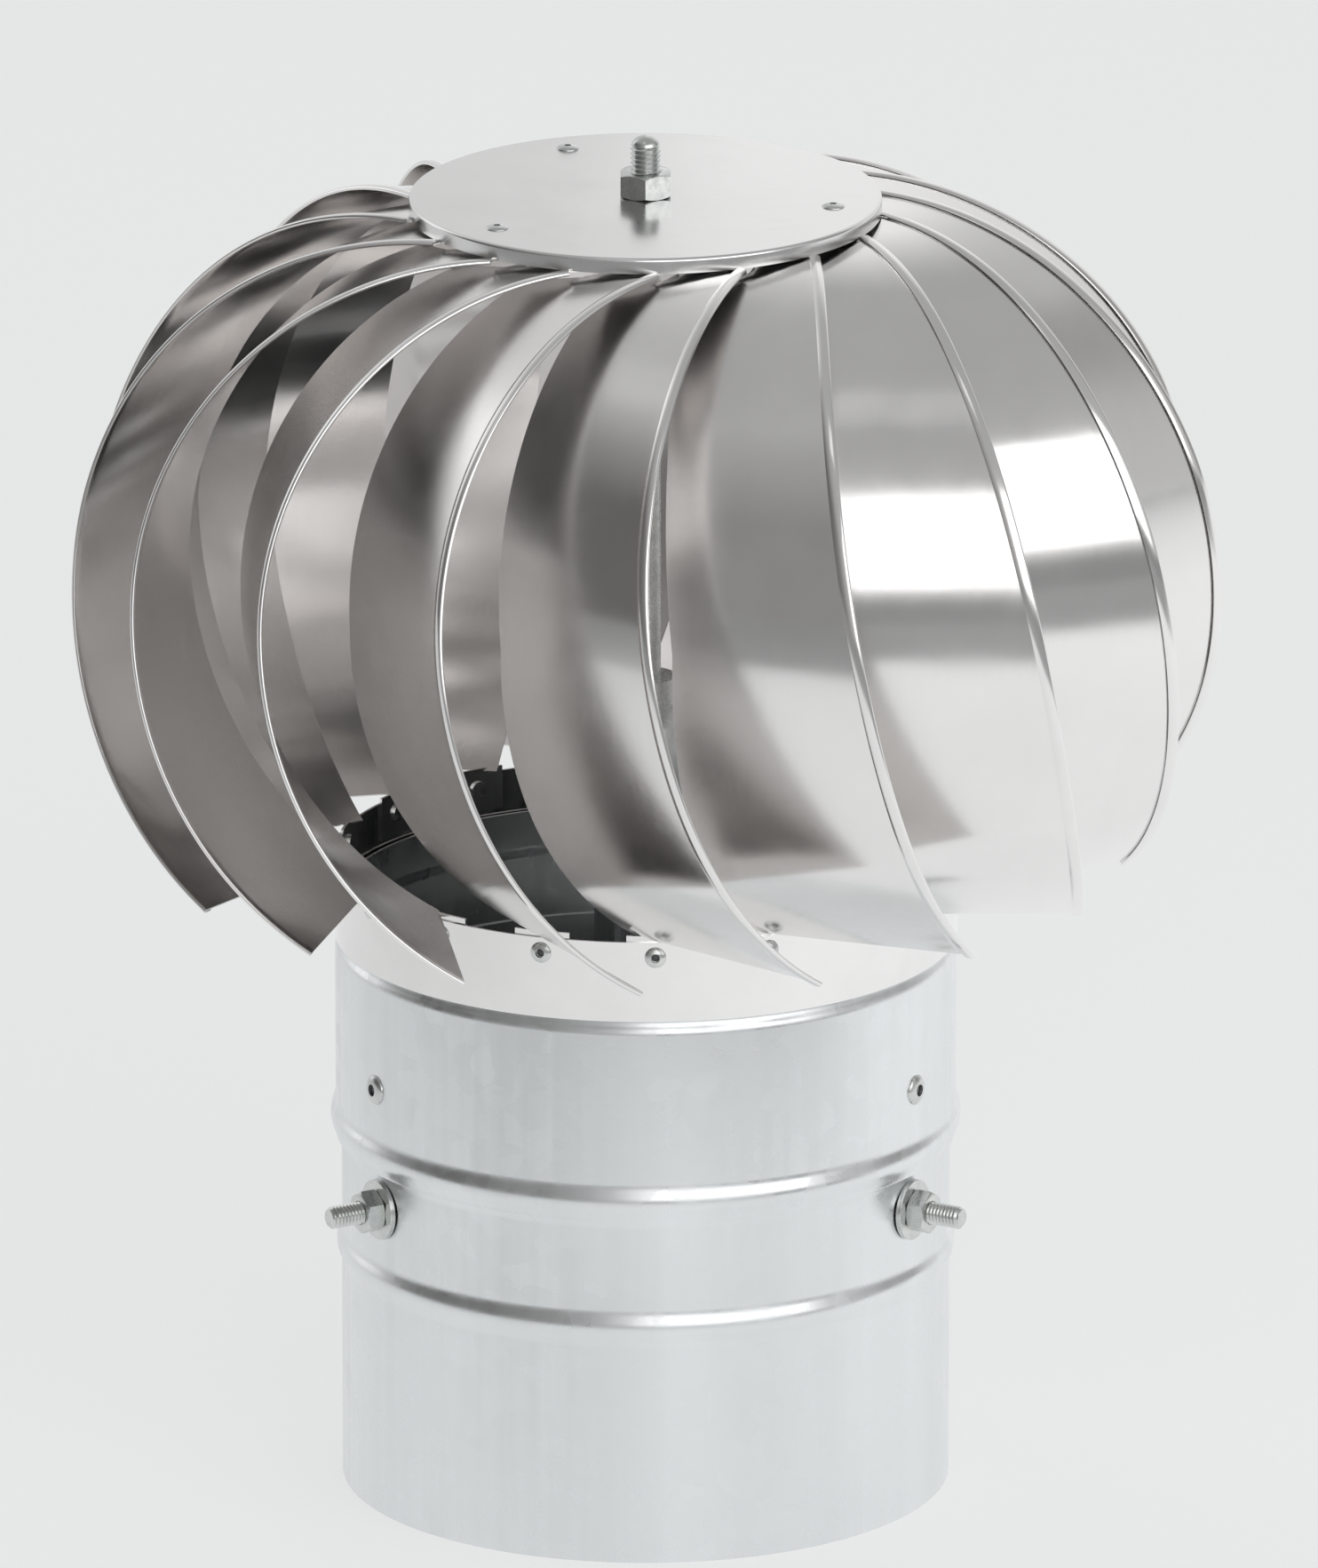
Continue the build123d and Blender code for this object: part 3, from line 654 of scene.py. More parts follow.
def inner_side(run):
    """Place of the plain inner edge across the strip."""
    if run > 0:
        return INNER_AT_WAIST + INNER_LEAN_ABOVE * run + INNER_CURVE * run ** 2
    return INNER_AT_WAIST + INNER_LEAN_BELOW * run - INNER_CURVE * run ** 2


def across(form, run, part):
    """Place across the strip: part 0 is where the hem's fold starts, 1 the inner edge."""
    start = hem_side(run) + form.hem
    return start + part * (inner_side(run) - start)


def strip_point(form, run, place, depth):
    """A point of the rolled strip, in the blade's own frame."""
    roll = form.upper_roll if run > 0 else form.lower_roll
    return Vector((roll - (roll - depth) * cos(run / roll), place,
                   form.waist + (roll - depth) * sin(run / roll)))


def blade_frame(form):
    """The blade's own frame: X inwards across the sheet, Y along the level chord, Z up."""
    s, c = sin(form.tilt), cos(form.tilt)
    return Matrix(((s, -c, 0, 0), (c, s, 0, -form.reach), (0, 0, 1, 0), (0, 0, 0, 1)))


def run_to_root(form, place_at):
    """The length along the strip at which a line on it reaches the root radius."""
    low, high = 0.0, form.upper_roll * pi / 2
    turn = blade_frame(form)
    for _ in range(HALVINGS):
        run = (low + high) / 2
        point = turn @ strip_point(form, run, place_at(run), 0)
        if hypot(point.x, point.y) > form.root:
            low = run
        else:
            high = run
    return low


def part_of(form, place):
    """Which part of the strip's width lies at a place across it, where it meets the root."""
    low, high = 0.0, 1.0
    for _ in range(HALVINGS):
        part = (low + high) / 2
        run = run_to_root(form, lambda r: across(form, r, part))
        if across(form, run, part) < place:
            low = part
        else:
            high = part
    return low


def tab_parts(form):
    """Parts of the strip's width at which the tab's divisions meet the root."""
    step = form.tab_width / TAB_DIVISIONS
    return [part_of(form, form.tab_start + step * k) for k in range(TAB_DIVISIONS + 1)]


def draw_section(bm, form):
    """The wire across the strip at its waist: inner edge, sheet, hem and the hem's fold."""
    tab = tab_parts(form)
    first, last = tab[0], tab[-1]
    parts = [1, (1 + last) / 2] + tab[::-1] + [first * k / 8 for k in range(7, -1, -1)]
    hem, back = hem_side(0), form.stack - form.proud
    sheet = [bm.verts.new((back, across(form, 0, part), form.waist)) for part in parts]
    corners = [bm.verts.new((depth, hem, form.waist)) for depth in (back, -form.proud)]
    folds = []
    for part in FOLD_PARTS:
        swell = form.swell * (1 - ((part - FOLD_CREST) / FOLD_SPREAD) ** 2)
        folds.append(bm.verts.new((-form.proud - swell, hem + part * form.hem, form.waist)))
    chain = sheet + corners + folds
    for pair in zip(chain, chain[1:]):
        bm.edges.new(pair)
    for corner in corners:
        bmesh.ops.bevel(bm, geom=[corner], offset=form.stack / 2 * BEND_SHARE,
                        offset_type="OFFSET", segments=4, profile=0.5, affect="VERTICES",
                        material=-1)


def roll_section(bm, form):
    """Spins the section up and down from the waist, as a strip of even width."""
    section = bm.verts[:] + bm.edges[:]
    sweep = asin((form.waist - form.foot) / form.lower_roll)
    for roll, angle, steps in ((form.upper_roll, pi / 2, form.steps_up),
                               (form.lower_roll, -sweep, form.steps_down)):
        bmesh.ops.spin(bm, geom=section, cent=(roll, 0, form.waist), axis=(0, 1, 0),
                       dvec=(0, 0, 0), angle=angle, steps=steps, use_merge=False,
                       use_normal_flip=False, use_duplicate=False)


def taper_strip(bm, form):
    """Draws the even strip in to its two edges and its root, and lays its UV map."""
    hem = hem_side(0)
    start = hem + form.hem
    width = inner_side(0) - start
    limits, runs = {}, {}
    marks = bm.loops.layers.uv.new(STRIP)
    for vert in bm.verts:
        upper = vert.co.z >= form.waist
        roll = form.upper_roll if upper else form.lower_roll
        side, rise = roll - vert.co.x, vert.co.z - form.waist
        depth = roll - hypot(side, rise)
        run = roll * atan2(rise, side)
        part = (vert.co.y - start) / width
        if part >= -SAME_PLACE:
            place = lambda r, part=part: across(form, r, max(part, 0))
        else:
            place = lambda r, y=vert.co.y: hem_side(r) + y - hem
        if upper:
            key = round(vert.co.y, 7)
            if key not in limits:
                limits[key] = run_to_root(form, place)
            run *= limits[key] / (roll * (pi / 2))
        runs[vert] = (place(run), run)
        vert.co = strip_point(form, run, place(run), depth)
    for face in bm.faces:
        for loop in face.loops:
            loop[marks].uv = runs[loop.vert]


def root_edges(bm, form):
    """The edges at the strip's root that its tab goes on from."""
    turn = blade_frame(form)
    low = form.tab_start - ACROSS_SLACK
    high = form.tab_start + form.tab_width + ACROSS_SLACK

    def at_root(vert):
        point = turn @ vert.co
        return (vert.co.z > form.waist + ROOT_ABOVE_WAIST
                and abs(hypot(point.x, point.y) - form.root) < ROOT_SLACK
                and low < vert.co.y < high)

    return [e for e in bm.edges if e.is_boundary and all(at_root(v) for v in e.verts)
            and abs(e.verts[0].co.y - e.verts[1].co.y) > ACROSS_SLACK]


def lead_tab(bm, form, back):
    """Carries the root on over the arc's top, and level from there, as the tab."""
    rim = root_edges(bm, form)
    flat_end = form.upper_roll + form.tab_length
    under = form.waist + form.upper_roll - back
    for stage in TAB_STAGES:
        def onward(point, stage=stage):
            x = point.x + (flat_end - point.x) * stage
            arc = max(0.0, form.upper_roll - x)
            height = form.waist + sqrt(max(0.0, (form.upper_roll - back) ** 2 - arc ** 2))
            return Vector((x, point.y, min(height, under)))
        rim = next_ring(bm, rim, onward)


def mark_inside(bm, form, back):
    """Marks the face that looks inwards, which the finish tints darker and warmer."""
    inside = bm.verts.layers.float.new(INSIDE)
    for vert in bm.verts:
        roll = form.upper_roll if vert.co.z >= form.waist else form.lower_roll
        depth = roll - hypot(max(0.0, roll - vert.co.x), vert.co.z - form.waist)
        vert[inside] = float(depth > back - INSIDE_SLACK)


def blade_sheet(form):
    """The strip: its hemmed section spun on both arcs, tapered, and narrowed to its tab."""
    bm = bmesh.new()
    back = form.stack - form.proud
    draw_section(bm, form)
    roll_section(bm, form)
    taper_strip(bm, form)
    lead_tab(bm, form, back)
    bmesh.ops.recalc_face_normals(bm, faces=bm.faces)
    middle = Vector((back, STRIP_MIDDLE, form.waist))
    sample = min(bm.faces, key=lambda f: (f.calc_center_median() - middle).length)
    if sample.normal.x < 0:
        bmesh.ops.reverse_faces(bm, faces=bm.faces)
    bmesh.ops.solidify(bm, geom=bm.faces[:], thickness=form.sheet)
    mark_inside(bm, form, back)
    bm.transform(blade_frame(form))
    return bm


def foot_tab(sizes, form):
    """The tab at the blade's foot, bent down inside the ring."""
    radius = sizes.ring_radius - sizes.sheet
    half = FOOT_TAB_HALF / radius
    middle = FOOT_TAB_TURN - form.phase - pi / 2
    bm = spun_wall([(radius, form.foot + FOOT_TAB_RISE), (radius, sizes.ring_top - FOOT_TAB_END)],
                   sizes.sheet, steps=10, angle=2 * half, start=middle - half)
    bm.loops.layers.uv.new(STRIP)
    bm.verts.layers.float.new(INSIDE)
    return bm


def ride_blades(sizes, form):
    """Makes one blade with its foot's tab and sets a copy at each place round the axis."""
    blade = joined([(blade_sheet(form), Matrix()), (foot_tab(sizes, form), Matrix())])
    for number in range(BLADE_COUNT):
        bm = blade.copy()
        bm.transform(Matrix.Rotation(form.phase + number * tau / BLADE_COUNT, 4, "Z"))
        node = f"blade_{number + 1:02d}"
        show(bm, f"{node}_sheet", ROTOR, [node], "polished_sheet", "blade")
    blade.free()


class OBJECT_OT_vent_blades(bpy.types.Operator):
    """Make the rolled blades with their hems and tabs"""
    bl_idname = "object.vent_blades"
    bl_label = "Blades"

    def execute(self, context):
        ride_blades(context.scene.ventilator_sizes, context.scene.ventilator_blade)
        return {"FINISHED"}


# Pipes, ring and cap

# A bead's crest before rounding, as a share of its height, and its roundings
BEAD_DRAW = 1.35
BEAD_FOOT_ROUND = 0.0012
BEAD_CREST_ROUND = 0.0024
# The pipe widens over this height just above the neck's foot
STEP_ABOVE_FOOT = 0.0003
STEP_HEIGHT = 0.002
STEP_ROUND = 0.0008
# The neck is drawn in over this height to its lip
SHOULDER_HEIGHT = 0.002
SHOULDER_ROUND = 0.001
CAP_HOLE = 0.0041
CAP_ROUND = 0.0009


def bead_points(radius, height, sizes):
    """Corners of a rolled bead, to be rounded."""
    half = sizes.bead_width / 2
    crest = radius + sizes.bead_height * BEAD_DRAW
    return [(radius, height - half, BEAD_FOOT_ROUND), (crest, height, BEAD_CREST_ROUND),
            (radius, height + half, BEAD_FOOT_ROUND)]


class OBJECT_OT_vent_pipes(bpy.types.Operator):
    """Spin the spigot pipe, the neck and the rotor ring"""
    bl_idname = "object.vent_pipes"
    bl_label = "Pipes and ring"

    def execute(self, context):
        s = context.scene.ventilator_sizes
        r, wide = s.pipe_radius, s.neck_radius - s.sheet
        step = s.neck_foot + STEP_ABOVE_FOOT
        pipe = [(r, 0.0), *bead_points(r, s.lower_bead, s), (r, step - STEP_HEIGHT, STEP_ROUND),
                (wide, step, STEP_ROUND), (wide, s.pipe_top)]
        show(spun_wall(pipe, s.sheet), "spigot_pipe", BASE, ["base_pipe"], "galvanised_sheet")
        neck = [(s.neck_radius, s.neck_foot), *bead_points(s.neck_radius, s.upper_bead, s),
                (s.neck_radius, s.neck_shoulder, SHOULDER_ROUND),
                (s.lip_radius, s.neck_shoulder + SHOULDER_HEIGHT, SHOULDER_ROUND),
                (s.lip_radius, s.neck_top)]
        show(spun_wall(neck, s.sheet), "neck_pipe", BASE, ["neck_sleeve"], "galvanised_sheet")
        ring = [(s.ring_radius, s.ring_foot), (s.ring_radius, s.ring_top)]
        show(spun_wall(ring, s.sheet, steps=180), "rotor_ring", ROTOR, ["lower_ring"],
             "polished_sheet", "ring")
        return {"FINISHED"}


class OBJECT_OT_vent_cap(bpy.types.Operator):
    """Spin the flat cap with its turned-down rim"""
    bl_idname = "object.vent_cap"
    bl_label = "Cap"

    def execute(self, context):
        s = context.scene.ventilator_sizes
        bm = bmesh.new()
        outline(bm, [(CAP_HOLE, s.cap_top), (s.cap_radius, s.cap_top, CAP_ROUND),
                     (s.cap_radius, s.cap_top - s.cap_rim)])
        spin_about_z(bm, steps=180)
        top = max(bm.faces, key=lambda f: f.calc_center_median().z)
        if top.normal.z < 0:
            bmesh.ops.reverse_faces(bm, faces=bm.faces)
        bmesh.ops.solidify(bm, geom=bm.faces[:], thickness=s.cap_sheet)
        show(bm, "cap", ROTOR, ["top_cap"], "polished_sheet")
        return {"FINISHED"}


# Fasteners

def islands(node):
    """The middle of each separate solid of a CAD node, from its mesh."""
    bm = bmesh.new()
    bm.from_mesh(frame["nodes"][node].data)
    bmesh.ops.remove_doubles(bm, verts=bm.verts, dist=SAME_PLACE)
    left, found = dict.fromkeys(bm.verts), []
    while left:
        front = [next(iter(left))]
        del left[front[0]]
        piece = list(front)
        while front:
            vert = front.pop()
            for edge in vert.link_edges:
                other = edge.other_vert(vert)
                if other in left:
                    del left[other]
                    front.append(other)
                    piece.append(other)
        found.append(sum((v.co for v in piece), Vector()) / len(piece))
    bm.free()
    return found


def azimuths(node):
    """Where a node's separate solids stand about the axis, in degrees from the front."""
    return sorted(atan2(c.x, -c.y) * 180 / pi for c in islands(node))


class Rivet(NamedTuple):
    """A blind rivet: its head's radius and rise, its shank's radius, the depth of its tail
    and its hole's radius."""
    radius: float
    rise: float
    shank: float
    tail: float
    hole: float


# Blind rivets and M6 bolts, in metres
RING_RIVET_Z = 0.166
NECK_RIVET_Z = 0.117
CAP_RIVET = Rivet(radius=0.0030, rise=0.0009, shank=0.0016, tail=0.0045, hole=0.0009)
NECK_RIVET = Rivet(radius=0.0040, rise=0.0013, shank=0.0020, tail=0.0035, hole=0.0016)
RING_STEM = 0.0004
NECK_STEM = 0.0006
BOLT_Z = 0.084
BOLT_RADIUS = 0.003
BOLT_PITCH = 0.001
BOLT_START = 0.0005
BOLT_END_RADIUS = 0.0955
BOLT_FLATS = 0.010
BOLT_HEAD = 0.004
BOLT_NUT = 0.005
BOLT_NUT_BORE = 0.00285
# From the pipe's inner face in to the underside of the bolt's head, over the spider's tab
BOLT_SEAT = 0.00225
WASHER_RADIUS = 0.008
WASHER_BORE = 0.0032
WASHER = 0.0014
# The M8 axle, whose dome is a little narrower than its thread and a little sunk in it
AXLE_RADIUS = 0.004
AXLE_CHAMFER = 0.0007
AXLE_PITCH = 0.00125
AXLE_DOME_RADIUS = 0.0037
AXLE_DOME = 0.0025
AXLE_DOME_SINK = 0.0002
DOME_ROUND = 0.999
AXLE_NUT_FLATS = 0.013
AXLE_NUT_BORE = 0.0038


def set_rivets(name, body, places, rivet, stem_height=0.0):
    """Sets a rivet at each place, and the end of its stem where that can be seen: a real stem,
    whose near-black finish is painted shade of the rivet's hole.
    """
    head = blind_rivet(rivet)
    show(joined([(head, place) for place in places]), name + "_rivet_heads", body,
         [name + "_rivets"], "zinc_plated_steel")
    if stem_height:
        stem = pulled_stem(rivet.hole, stem_height)
        # The stems' near-black finish is painted shade of the holes they sit in
        show(joined([(stem, place) for place in places]), name + "_rivet_stems", body, [],
             "spring_steel")


class OBJECT_OT_vent_rivets(bpy.types.Operator):
    """Set the blind rivets of the ring, the cap and the neck"""
    bl_idname = "object.vent_rivets"
    bl_label = "Rivets"

    def execute(self, context):
        s = context.scene.ventilator_sizes
        ring_rivet = Rivet(radius=0.0028, rise=0.0011, shank=0.0015, tail=2 * s.sheet, hole=0.0012)
        ring = [radial(s.ring_radius, RING_RIVET_Z, a) for a in azimuths("ring_rivets")]
        cap = [Matrix.Translation((c.x, c.y, s.cap_top)) for c in islands("cap_rivets")]
        neck = [radial(s.neck_radius, NECK_RIVET_Z, a) for a in azimuths("neck_rivets")]
        set_rivets("ring", ROTOR, ring, ring_rivet, RING_STEM)
        set_rivets("cap", ROTOR, cap, CAP_RIVET)
        set_rivets("neck", BASE, neck, NECK_RIVET, NECK_STEM)
        return {"FINISHED"}


def disc_washer(outer, bore, thickness, edge=0.00015):
    """A flat washer with its edges just broken."""
    return spun_ring([(bore, 0), (outer, 0, edge), (outer, thickness, edge), (bore, thickness)])


class OBJECT_OT_vent_bolts(bpy.types.Operator):
    """Make the spider bolts with their nuts and washers, and the axle with its nuts"""
    bl_idname = "object.vent_bolts"
    bl_label = "Bolts, nuts and axle"

    def execute(self, context):
        sizes = context.scene.ventilator_sizes
        self.spider_bolts(sizes)
        self.axle(sizes)
        for node in ("top_nut", "plate_nut", "axle_lock_nut"):
            low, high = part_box(node)
            nut = hexagon(AXLE_NUT_FLATS, high.z - low.z, AXLE_NUT_BORE)
            show(joined([(nut, raised(low.z))]), node + "_hex", ROTOR, [node],
                 "zinc_plated_steel")
        return {"FINISHED"}

    def spider_bolts(self, s):
        """A bolt from inside each arm's tab, with its washer and nut outside."""
        spots = azimuths("spider_bolts")
        seat = s.pipe_radius - s.sheet - BOLT_SEAT
        bolt = joined([
            (hexagon(BOLT_FLATS, BOLT_HEAD), raised(-BOLT_HEAD)),
            (thread(BOLT_RADIUS, BOLT_PITCH, BOLT_START, BOLT_END_RADIUS - seat), Matrix()),
        ])
        washer = disc_washer(WASHER_RADIUS, WASHER_BORE, WASHER)
        nut = hexagon(BOLT_FLATS, BOLT_NUT, BOLT_NUT_BORE)
        for part, radius, name, node in (
                (bolt, seat, "spider_bolt_set", "spider_bolts"),
                (washer, s.pipe_radius, "spider_washer_set", "spider_bolt_washers"),
                (nut, s.pipe_radius + WASHER, "spider_nut_set", "spider_bolt_nuts")):
            show(joined([(part, radial(radius, BOLT_Z, a)) for a in spots]), name, BASE, [node],
                 "zinc_plated_steel")

    def axle(self, s):
        """A plain shaft up to the cap, threaded above it and domed at its end."""
        low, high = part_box("axle")
        shoulder = high.z - AXLE_DOME
        shaft = spun_solid([(0, low.z), (AXLE_RADIUS, low.z, AXLE_CHAMFER),
                            (AXLE_RADIUS, s.cap_top), (0, s.cap_top)], steps=40)
        dome = bmesh.new()
        outline(dome, [(0, 1), (1, 1, DOME_ROUND), (1, 0), (0, 0)])
        bmesh.ops.scale(dome, verts=dome.verts, vec=(AXLE_DOME_RADIUS, 1, AXLE_DOME))
        spin_about_z(dome, steps=40)
        stud = thread(AXLE_RADIUS, AXLE_PITCH, s.cap_top, shoulder + AXLE_DOME_SINK, steps=28)
        show(joined([(shaft, Matrix()), (stud, Matrix()), (dome, raised(shoulder))]), "axle_stud",
             ROTOR, ["axle"], "zinc_plated_steel")


# What stays as the CAD has it, with its faces smoothed

SMOOTHED = {
    "lower_spider": BASE, "upper_spider": BASE, "bearing_housing": BASE,
    "lower_bearing_outer_ring": BASE, "upper_bearing_outer_ring": BASE,
    "lower_bearing_shields": BASE, "upper_bearing_shields": BASE,
    "lower_circlip": BASE, "upper_circlip": BASE,
    "rain_shield": ROTOR, "axle_collar": ROTOR, "collar_screw": ROTOR, "axle_washer": ROTOR,
    "lower_spacer": ROTOR, "upper_spacer": ROTOR, "plate_washer": ROTOR, "blade_plate": ROTOR,
    "plate_rivets": ROTOR, "cap_spacer": ROTOR,
    "lower_bearing_inner_ring": ROTOR, "upper_bearing_inner_ring": ROTOR,
    "lower_bearing_cage": "lower_ball_set", "lower_bearing_balls": "lower_ball_set",
    "upper_bearing_cage": "upper_ball_set", "upper_bearing_balls": "upper_ball_set",
}


class OBJECT_OT_vent_inner(bpy.types.Operator):
    """Smooth the bearing housing, spiders, bearings and other inner pieces"""
    bl_idname = "object.vent_inner"
    bl_label = "Bearings and spiders"

    def execute(self, context):
        slots = {p["node"]: p["material_slot"] for p in frame["record"]["subparts"]}
        for node, body in SMOOTHED.items():
            bm = bmesh.new()
            bm.from_mesh(frame["nodes"][node].data)
            bmesh.ops.remove_doubles(bm, verts=bm.verts, dist=SAME_PLACE)
            show(bm, node + "_smooth", body, [node], slots[node])
        return {"FINISHED"}


# Studio

# Grey of the studio's walls by azimuth in degrees from the front, positive to the right
WALLS = ((-180, 0.74), (-152, 0.66), (-140, 0.82), (-133, 1.15), (-120, 1.15), (-111, 0.45),
         (-99, 0.12), (-72, 0.15), (-42, 0.25), (-20, 0.42), (0, 0.48), (72, 0.52), (88, 0.60),
         (98, 0.34), (112, 0.24), (127, 0.72), (180, 0.74))
# How much a dark wall leans to red, and the grey from which walls are neutral
WARMTH = 0.07
NEUTRAL_GREY = 0.5
# Between these elevations the walls go over into the ceiling
CEILING_FROM = radians(30)
CEILING_TO = radians(58)
# Name, azimuth, distance, width in degrees, lowest and highest elevation, radiance
LAMPS = (("front softbox", 31, 1.7, 68, 3, 38.5, 1.25),
         ("high fill", -20, 3.2, 40, 62, 74, 0.6))
# The point from which the lamps span those angles
LAMP_MIDDLE = Vector((0, 0, 0.26))
# The table's middle and reach, in metres across and along, and the part of that reach at which
# it has faded
TABLE_MIDDLE = (-0.25, 0.55)
TABLE_REACH = (1.15, 1.3)
TABLE_FADED = 1.08
# Across it the table's painted light grows brighter towards the lamp, from the first of these
# places to the second
TABLE_LIT = (-0.9, 0.5)
# The table has an edge in front only, which comes in from the middle to here
TABLE_FRONT = -0.5
FLOOR_HALF = 14
# Inside this radius the floor is seen only through the pipe and lies in its shade, so it doesn't
# glow there: painted shade
PIPE_FOOT = 0.08
SENSOR_MM = 36
FARTHEST = 60


def lamp(name, size, power, place, aim):
    """A soft rectangular lamp that looks at a point."""
    light = bpy.data.lights.new(name, "AREA")
    light.shape = "RECTANGLE"
    light.size, light.size_y = size
    light.energy = power
    lamp_object = bpy.data.objects.new(name, light)
    bpy.context.scene.collection.objects.link(lamp_object)
    lamp_object.location = place
    lamp_object.visible_camera = False
    lamp_object.rotation_euler = (aim - place).to_track_quat("-Z", "Y").to_euler()


class OBJECT_OT_vent_stage(bpy.types.Operator):
    """Set the floor, the studio light and the camera"""
    bl_idname = "object.vent_stage"
    bl_label = "Studio"

    def execute(self, context):
        studio = context.scene.ventilator_studio
        self.floor(studio)
        self.world(context.scene, studio)
        self.lamps()
        self.camera(context.scene, studio)
        context.scene.view_settings.view_transform = "Standard"
        return {"FINISHED"}

    def floor(self, studio):
        """A pale table that metal sees brighter on the lamp's side, with a grey room beyond. The
        glow that the metal sees is painted light, and it is left out inside the pipe's foot as
        painted shade.
        """
        bm = bmesh.new()
        bmesh.ops.create_grid(bm, x_segments=1, y_segments=1, size=FLOOR_HALF)
        mesh = bpy.data.meshes.new("floor")
        bm.to_mesh(mesh)
        bm.free()
        floor = bpy.data.objects.new("floor", mesh)
        bpy.context.scene.collection.objects.link(floor)
        mesh.materials.append(self.floor_material(studio))

    def floor_material(self, studio):
        n = new_material("pale floor")
        n.tree.nodes.remove(n.shader)
        path = n.add("LightPath").outputs
        axes = n.add("SeparateXYZ", None, Vector=n.add("TexCoord").outputs["Object"]).outputs
        x, y = axes["X"], axes["Y"]
        # Painted light: the glow grows brighter towards the lamp's side
        lit = n.span(x, studio.table_left, studio.table_right, *TABLE_LIT)
        reach = n.calc(n.calc(x, -TABLE_MIDDLE[0]), TABLE_REACH[0], "DIVIDE")
        near = n.calc(n.calc(y, -TABLE_MIDDLE[1]), TABLE_REACH[1], "DIVIDE")
        far = n.calc(self.squares(n, reach, near), 0.5, "POWER")
        table = n.calc(n.span(far, 1.0, 0.0, 1.0, TABLE_FADED),
                       n.span(y, 0.0, 1.0, TABLE_FRONT, 0.0), "MAXIMUM")
        room = n.mix(table, studio.room, lit, kind="FLOAT")
        level = n.mix(path["Is Camera Ray"], room, studio.view, kind="FLOAT")
        # Painted shade: no glow inside the pipe's foot
        away = n.calc(self.squares(n, x, y), PIPE_FOOT ** 2, "GREATER_THAN")
        seen = n.calc(n.calc(path["Is Camera Ray"], path["Is Glossy Ray"], "MAXIMUM"), away,
                      "MULTIPLY")
        diffuse = n.add("BsdfDiffuse", None, Color=(*studio.floor, 1))
        glow = n.add("Emission", None, Color=(*studio.floor, 1), Strength=level)
        both = n.add("MixShader")
        n.join(n.calc(seen, studio.floor_glow, "MULTIPLY"), both.inputs[0])
        n.join(diffuse.outputs[0], both.inputs[1])
        n.join(glow.outputs[0], both.inputs[2])
        n.join(both.outputs[0], n.tree.nodes["Material Output"].inputs["Surface"])
        return n.holder

    def squares(self, n, first, second):
        """The sum of two values' squares."""
        return n.calc(n.calc(first, first, "MULTIPLY"), n.calc(second, second, "MULTIPLY"))

    def world(self, scene, studio):
        """The studio round the table: a pale back, dark to the left, and a grey ceiling."""
        world = bpy.data.worlds.new("studio")
        scene.world = world
        n = Nodes(world)
        axes = n.add("SeparateXYZ", None, Vector=n.add("TexCoord").outputs["Generated"]).outputs
        azimuth = n.calc(axes["X"], n.calc(axes["Y"], -1.0, "MULTIPLY"), "ARCTAN2")
        walls = n.add("ValToRGB", None, Fac=n.span(azimuth, 0, 1, -pi, pi))
        ramp = walls.color_ramp
        for place, grey in WALLS:
            part = (place + 180) / 360
            stop = ramp.elements.new(part) if 0 < part < 1 else ramp.elements[int(part)]
            warm = 1 + WARMTH * max(0.0, NEUTRAL_GREY - grey)
            stop.color = (grey * warm, grey, grey / warm, 1)
        overhead = n.span(axes["Z"], 0, 1, sin(CEILING_FROM), sin(CEILING_TO))
        room = n.mix(overhead, walls.outputs["Color"], (*[studio.ceiling] * 3, 1))
        camera_ray = n.add("LightPath").outputs["Is Camera Ray"]
        backdrop = n.mix(camera_ray, room, (*studio.floor, 1))
        n.join(backdrop, n.tree.nodes["Background"].inputs["Color"])

    def lamps(self):
        """Rectangles that span the stated angles, seen from the middle of the blades."""
        for name, azimuth, distance, width, low, high, level in LAMPS:
            a = radians(azimuth)
            bottom = distance * tan(radians(low))
            top = distance * tan(radians(high))
            height = (bottom + top) / 2
            place = LAMP_MIDDLE + Vector((distance * sin(a), -distance * cos(a), height))
            aim = LAMP_MIDDLE + Vector((0, 0, height))
            size = (2 * distance * tan(radians(width / 2)), top - bottom)
            lamp(name, size, level * pi * size[0] * size[1], place, aim)

    def camera(self, scene, studio):
        data = bpy.data.cameras.new("camera")
        data.lens = studio.lens
        data.sensor_width = SENSOR_MM
        data.clip_end = FARTHEST
        camera = bpy.data.objects.new("camera", data)
        scene.collection.objects.link(camera)
        aim = Vector((studio.aim_x, 0, studio.aim_z))
        away = Vector((0, -cos(studio.elevation), sin(studio.elevation)))
        camera.location = aim + studio.distance * away
        camera.rotation_euler = (-away).to_track_quat("-Z", "Y").to_euler()
        scene.camera = camera


OPERATORS = (OBJECT_OT_vent_stage, OBJECT_OT_vent_pipes, OBJECT_OT_vent_cap,
             OBJECT_OT_vent_blades, OBJECT_OT_vent_rivets, OBJECT_OT_vent_bolts,
             OBJECT_OT_vent_inner)


class VIEW3D_PT_ventilator(bpy.types.Panel):
    """The ventilator's sizes, finishes and pieces"""
    bl_idname = "VIEW3D_PT_ventilator"
    bl_label = "Turbine Ventilator"
    bl_space_type = "VIEW_3D"
    bl_region_type = "UI"
    bl_category = "Ventilator"

    def draw(self, context):
        for group in ("ventilator_sizes", "ventilator_blade", "ventilator_finishes",
                      "ventilator_studio"):
            holder = getattr(context.scene, group)
            box = self.layout.box()
            for key in holder.__annotations__:
                box.prop(holder, key)
        for operator in OPERATORS:
            self.layout.operator(operator.bl_idname)


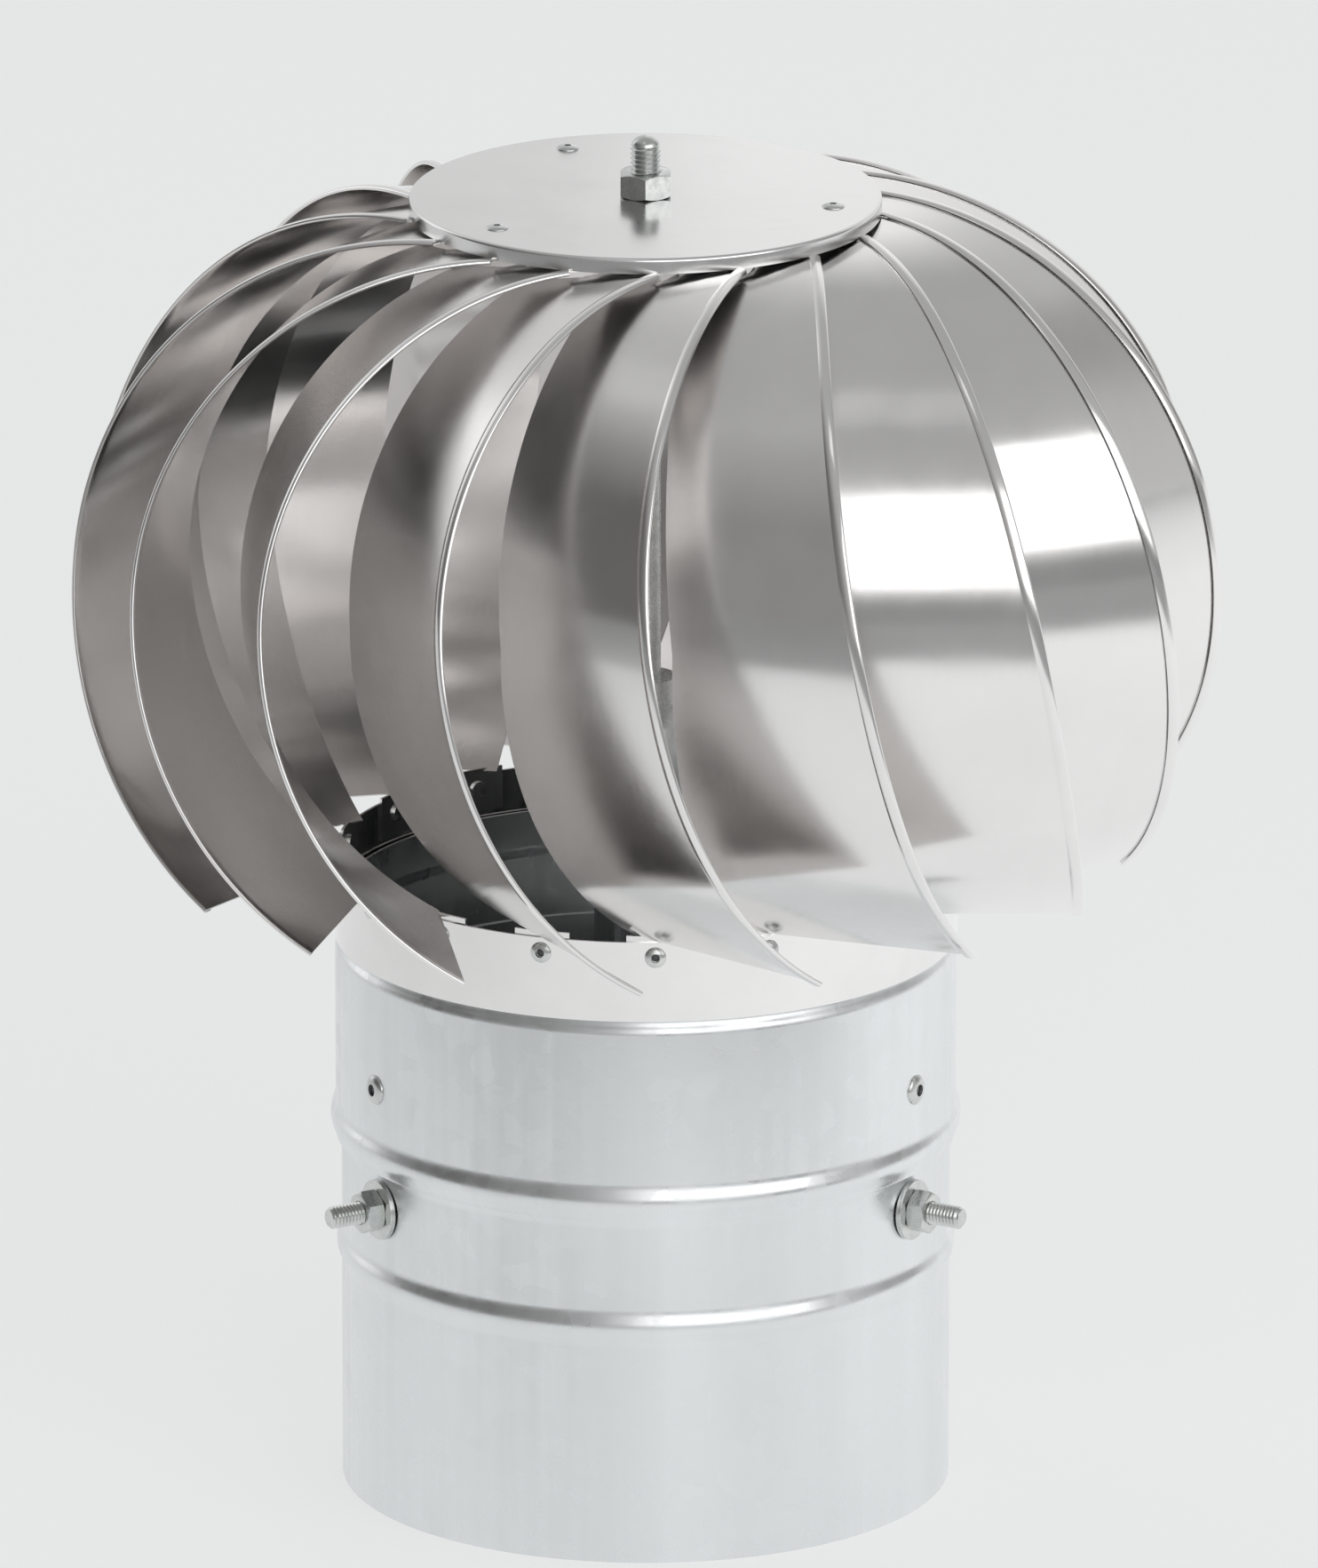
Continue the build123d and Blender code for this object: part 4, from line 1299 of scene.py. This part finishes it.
GROUPS = {
    "ventilator_sizes": VentilatorSizes,
    "ventilator_blade": BladeForm,
    "ventilator_finishes": Finishes,
    "ventilator_studio": Studio,
}


def register():
    for group in GROUPS.values():
        bpy.utils.register_class(group)
    for operator in OPERATORS:
        bpy.utils.register_class(operator)
    bpy.utils.register_class(VIEW3D_PT_ventilator)
    for name, group in GROUPS.items():
        setattr(bpy.types.Scene, name, PointerProperty(type=group))


def unregister():
    for name in GROUPS:
        delattr(bpy.types.Scene, name)
    bpy.utils.unregister_class(VIEW3D_PT_ventilator)
    for kind in (*reversed(OPERATORS), *reversed(list(GROUPS.values()))):
        bpy.utils.unregister_class(kind)


def main():
    register()
    for operator in OPERATORS:
        group, name = operator.bl_idname.split(".")
        getattr(getattr(bpy.ops, group), name)()


if __name__ == "__main__":
    main()
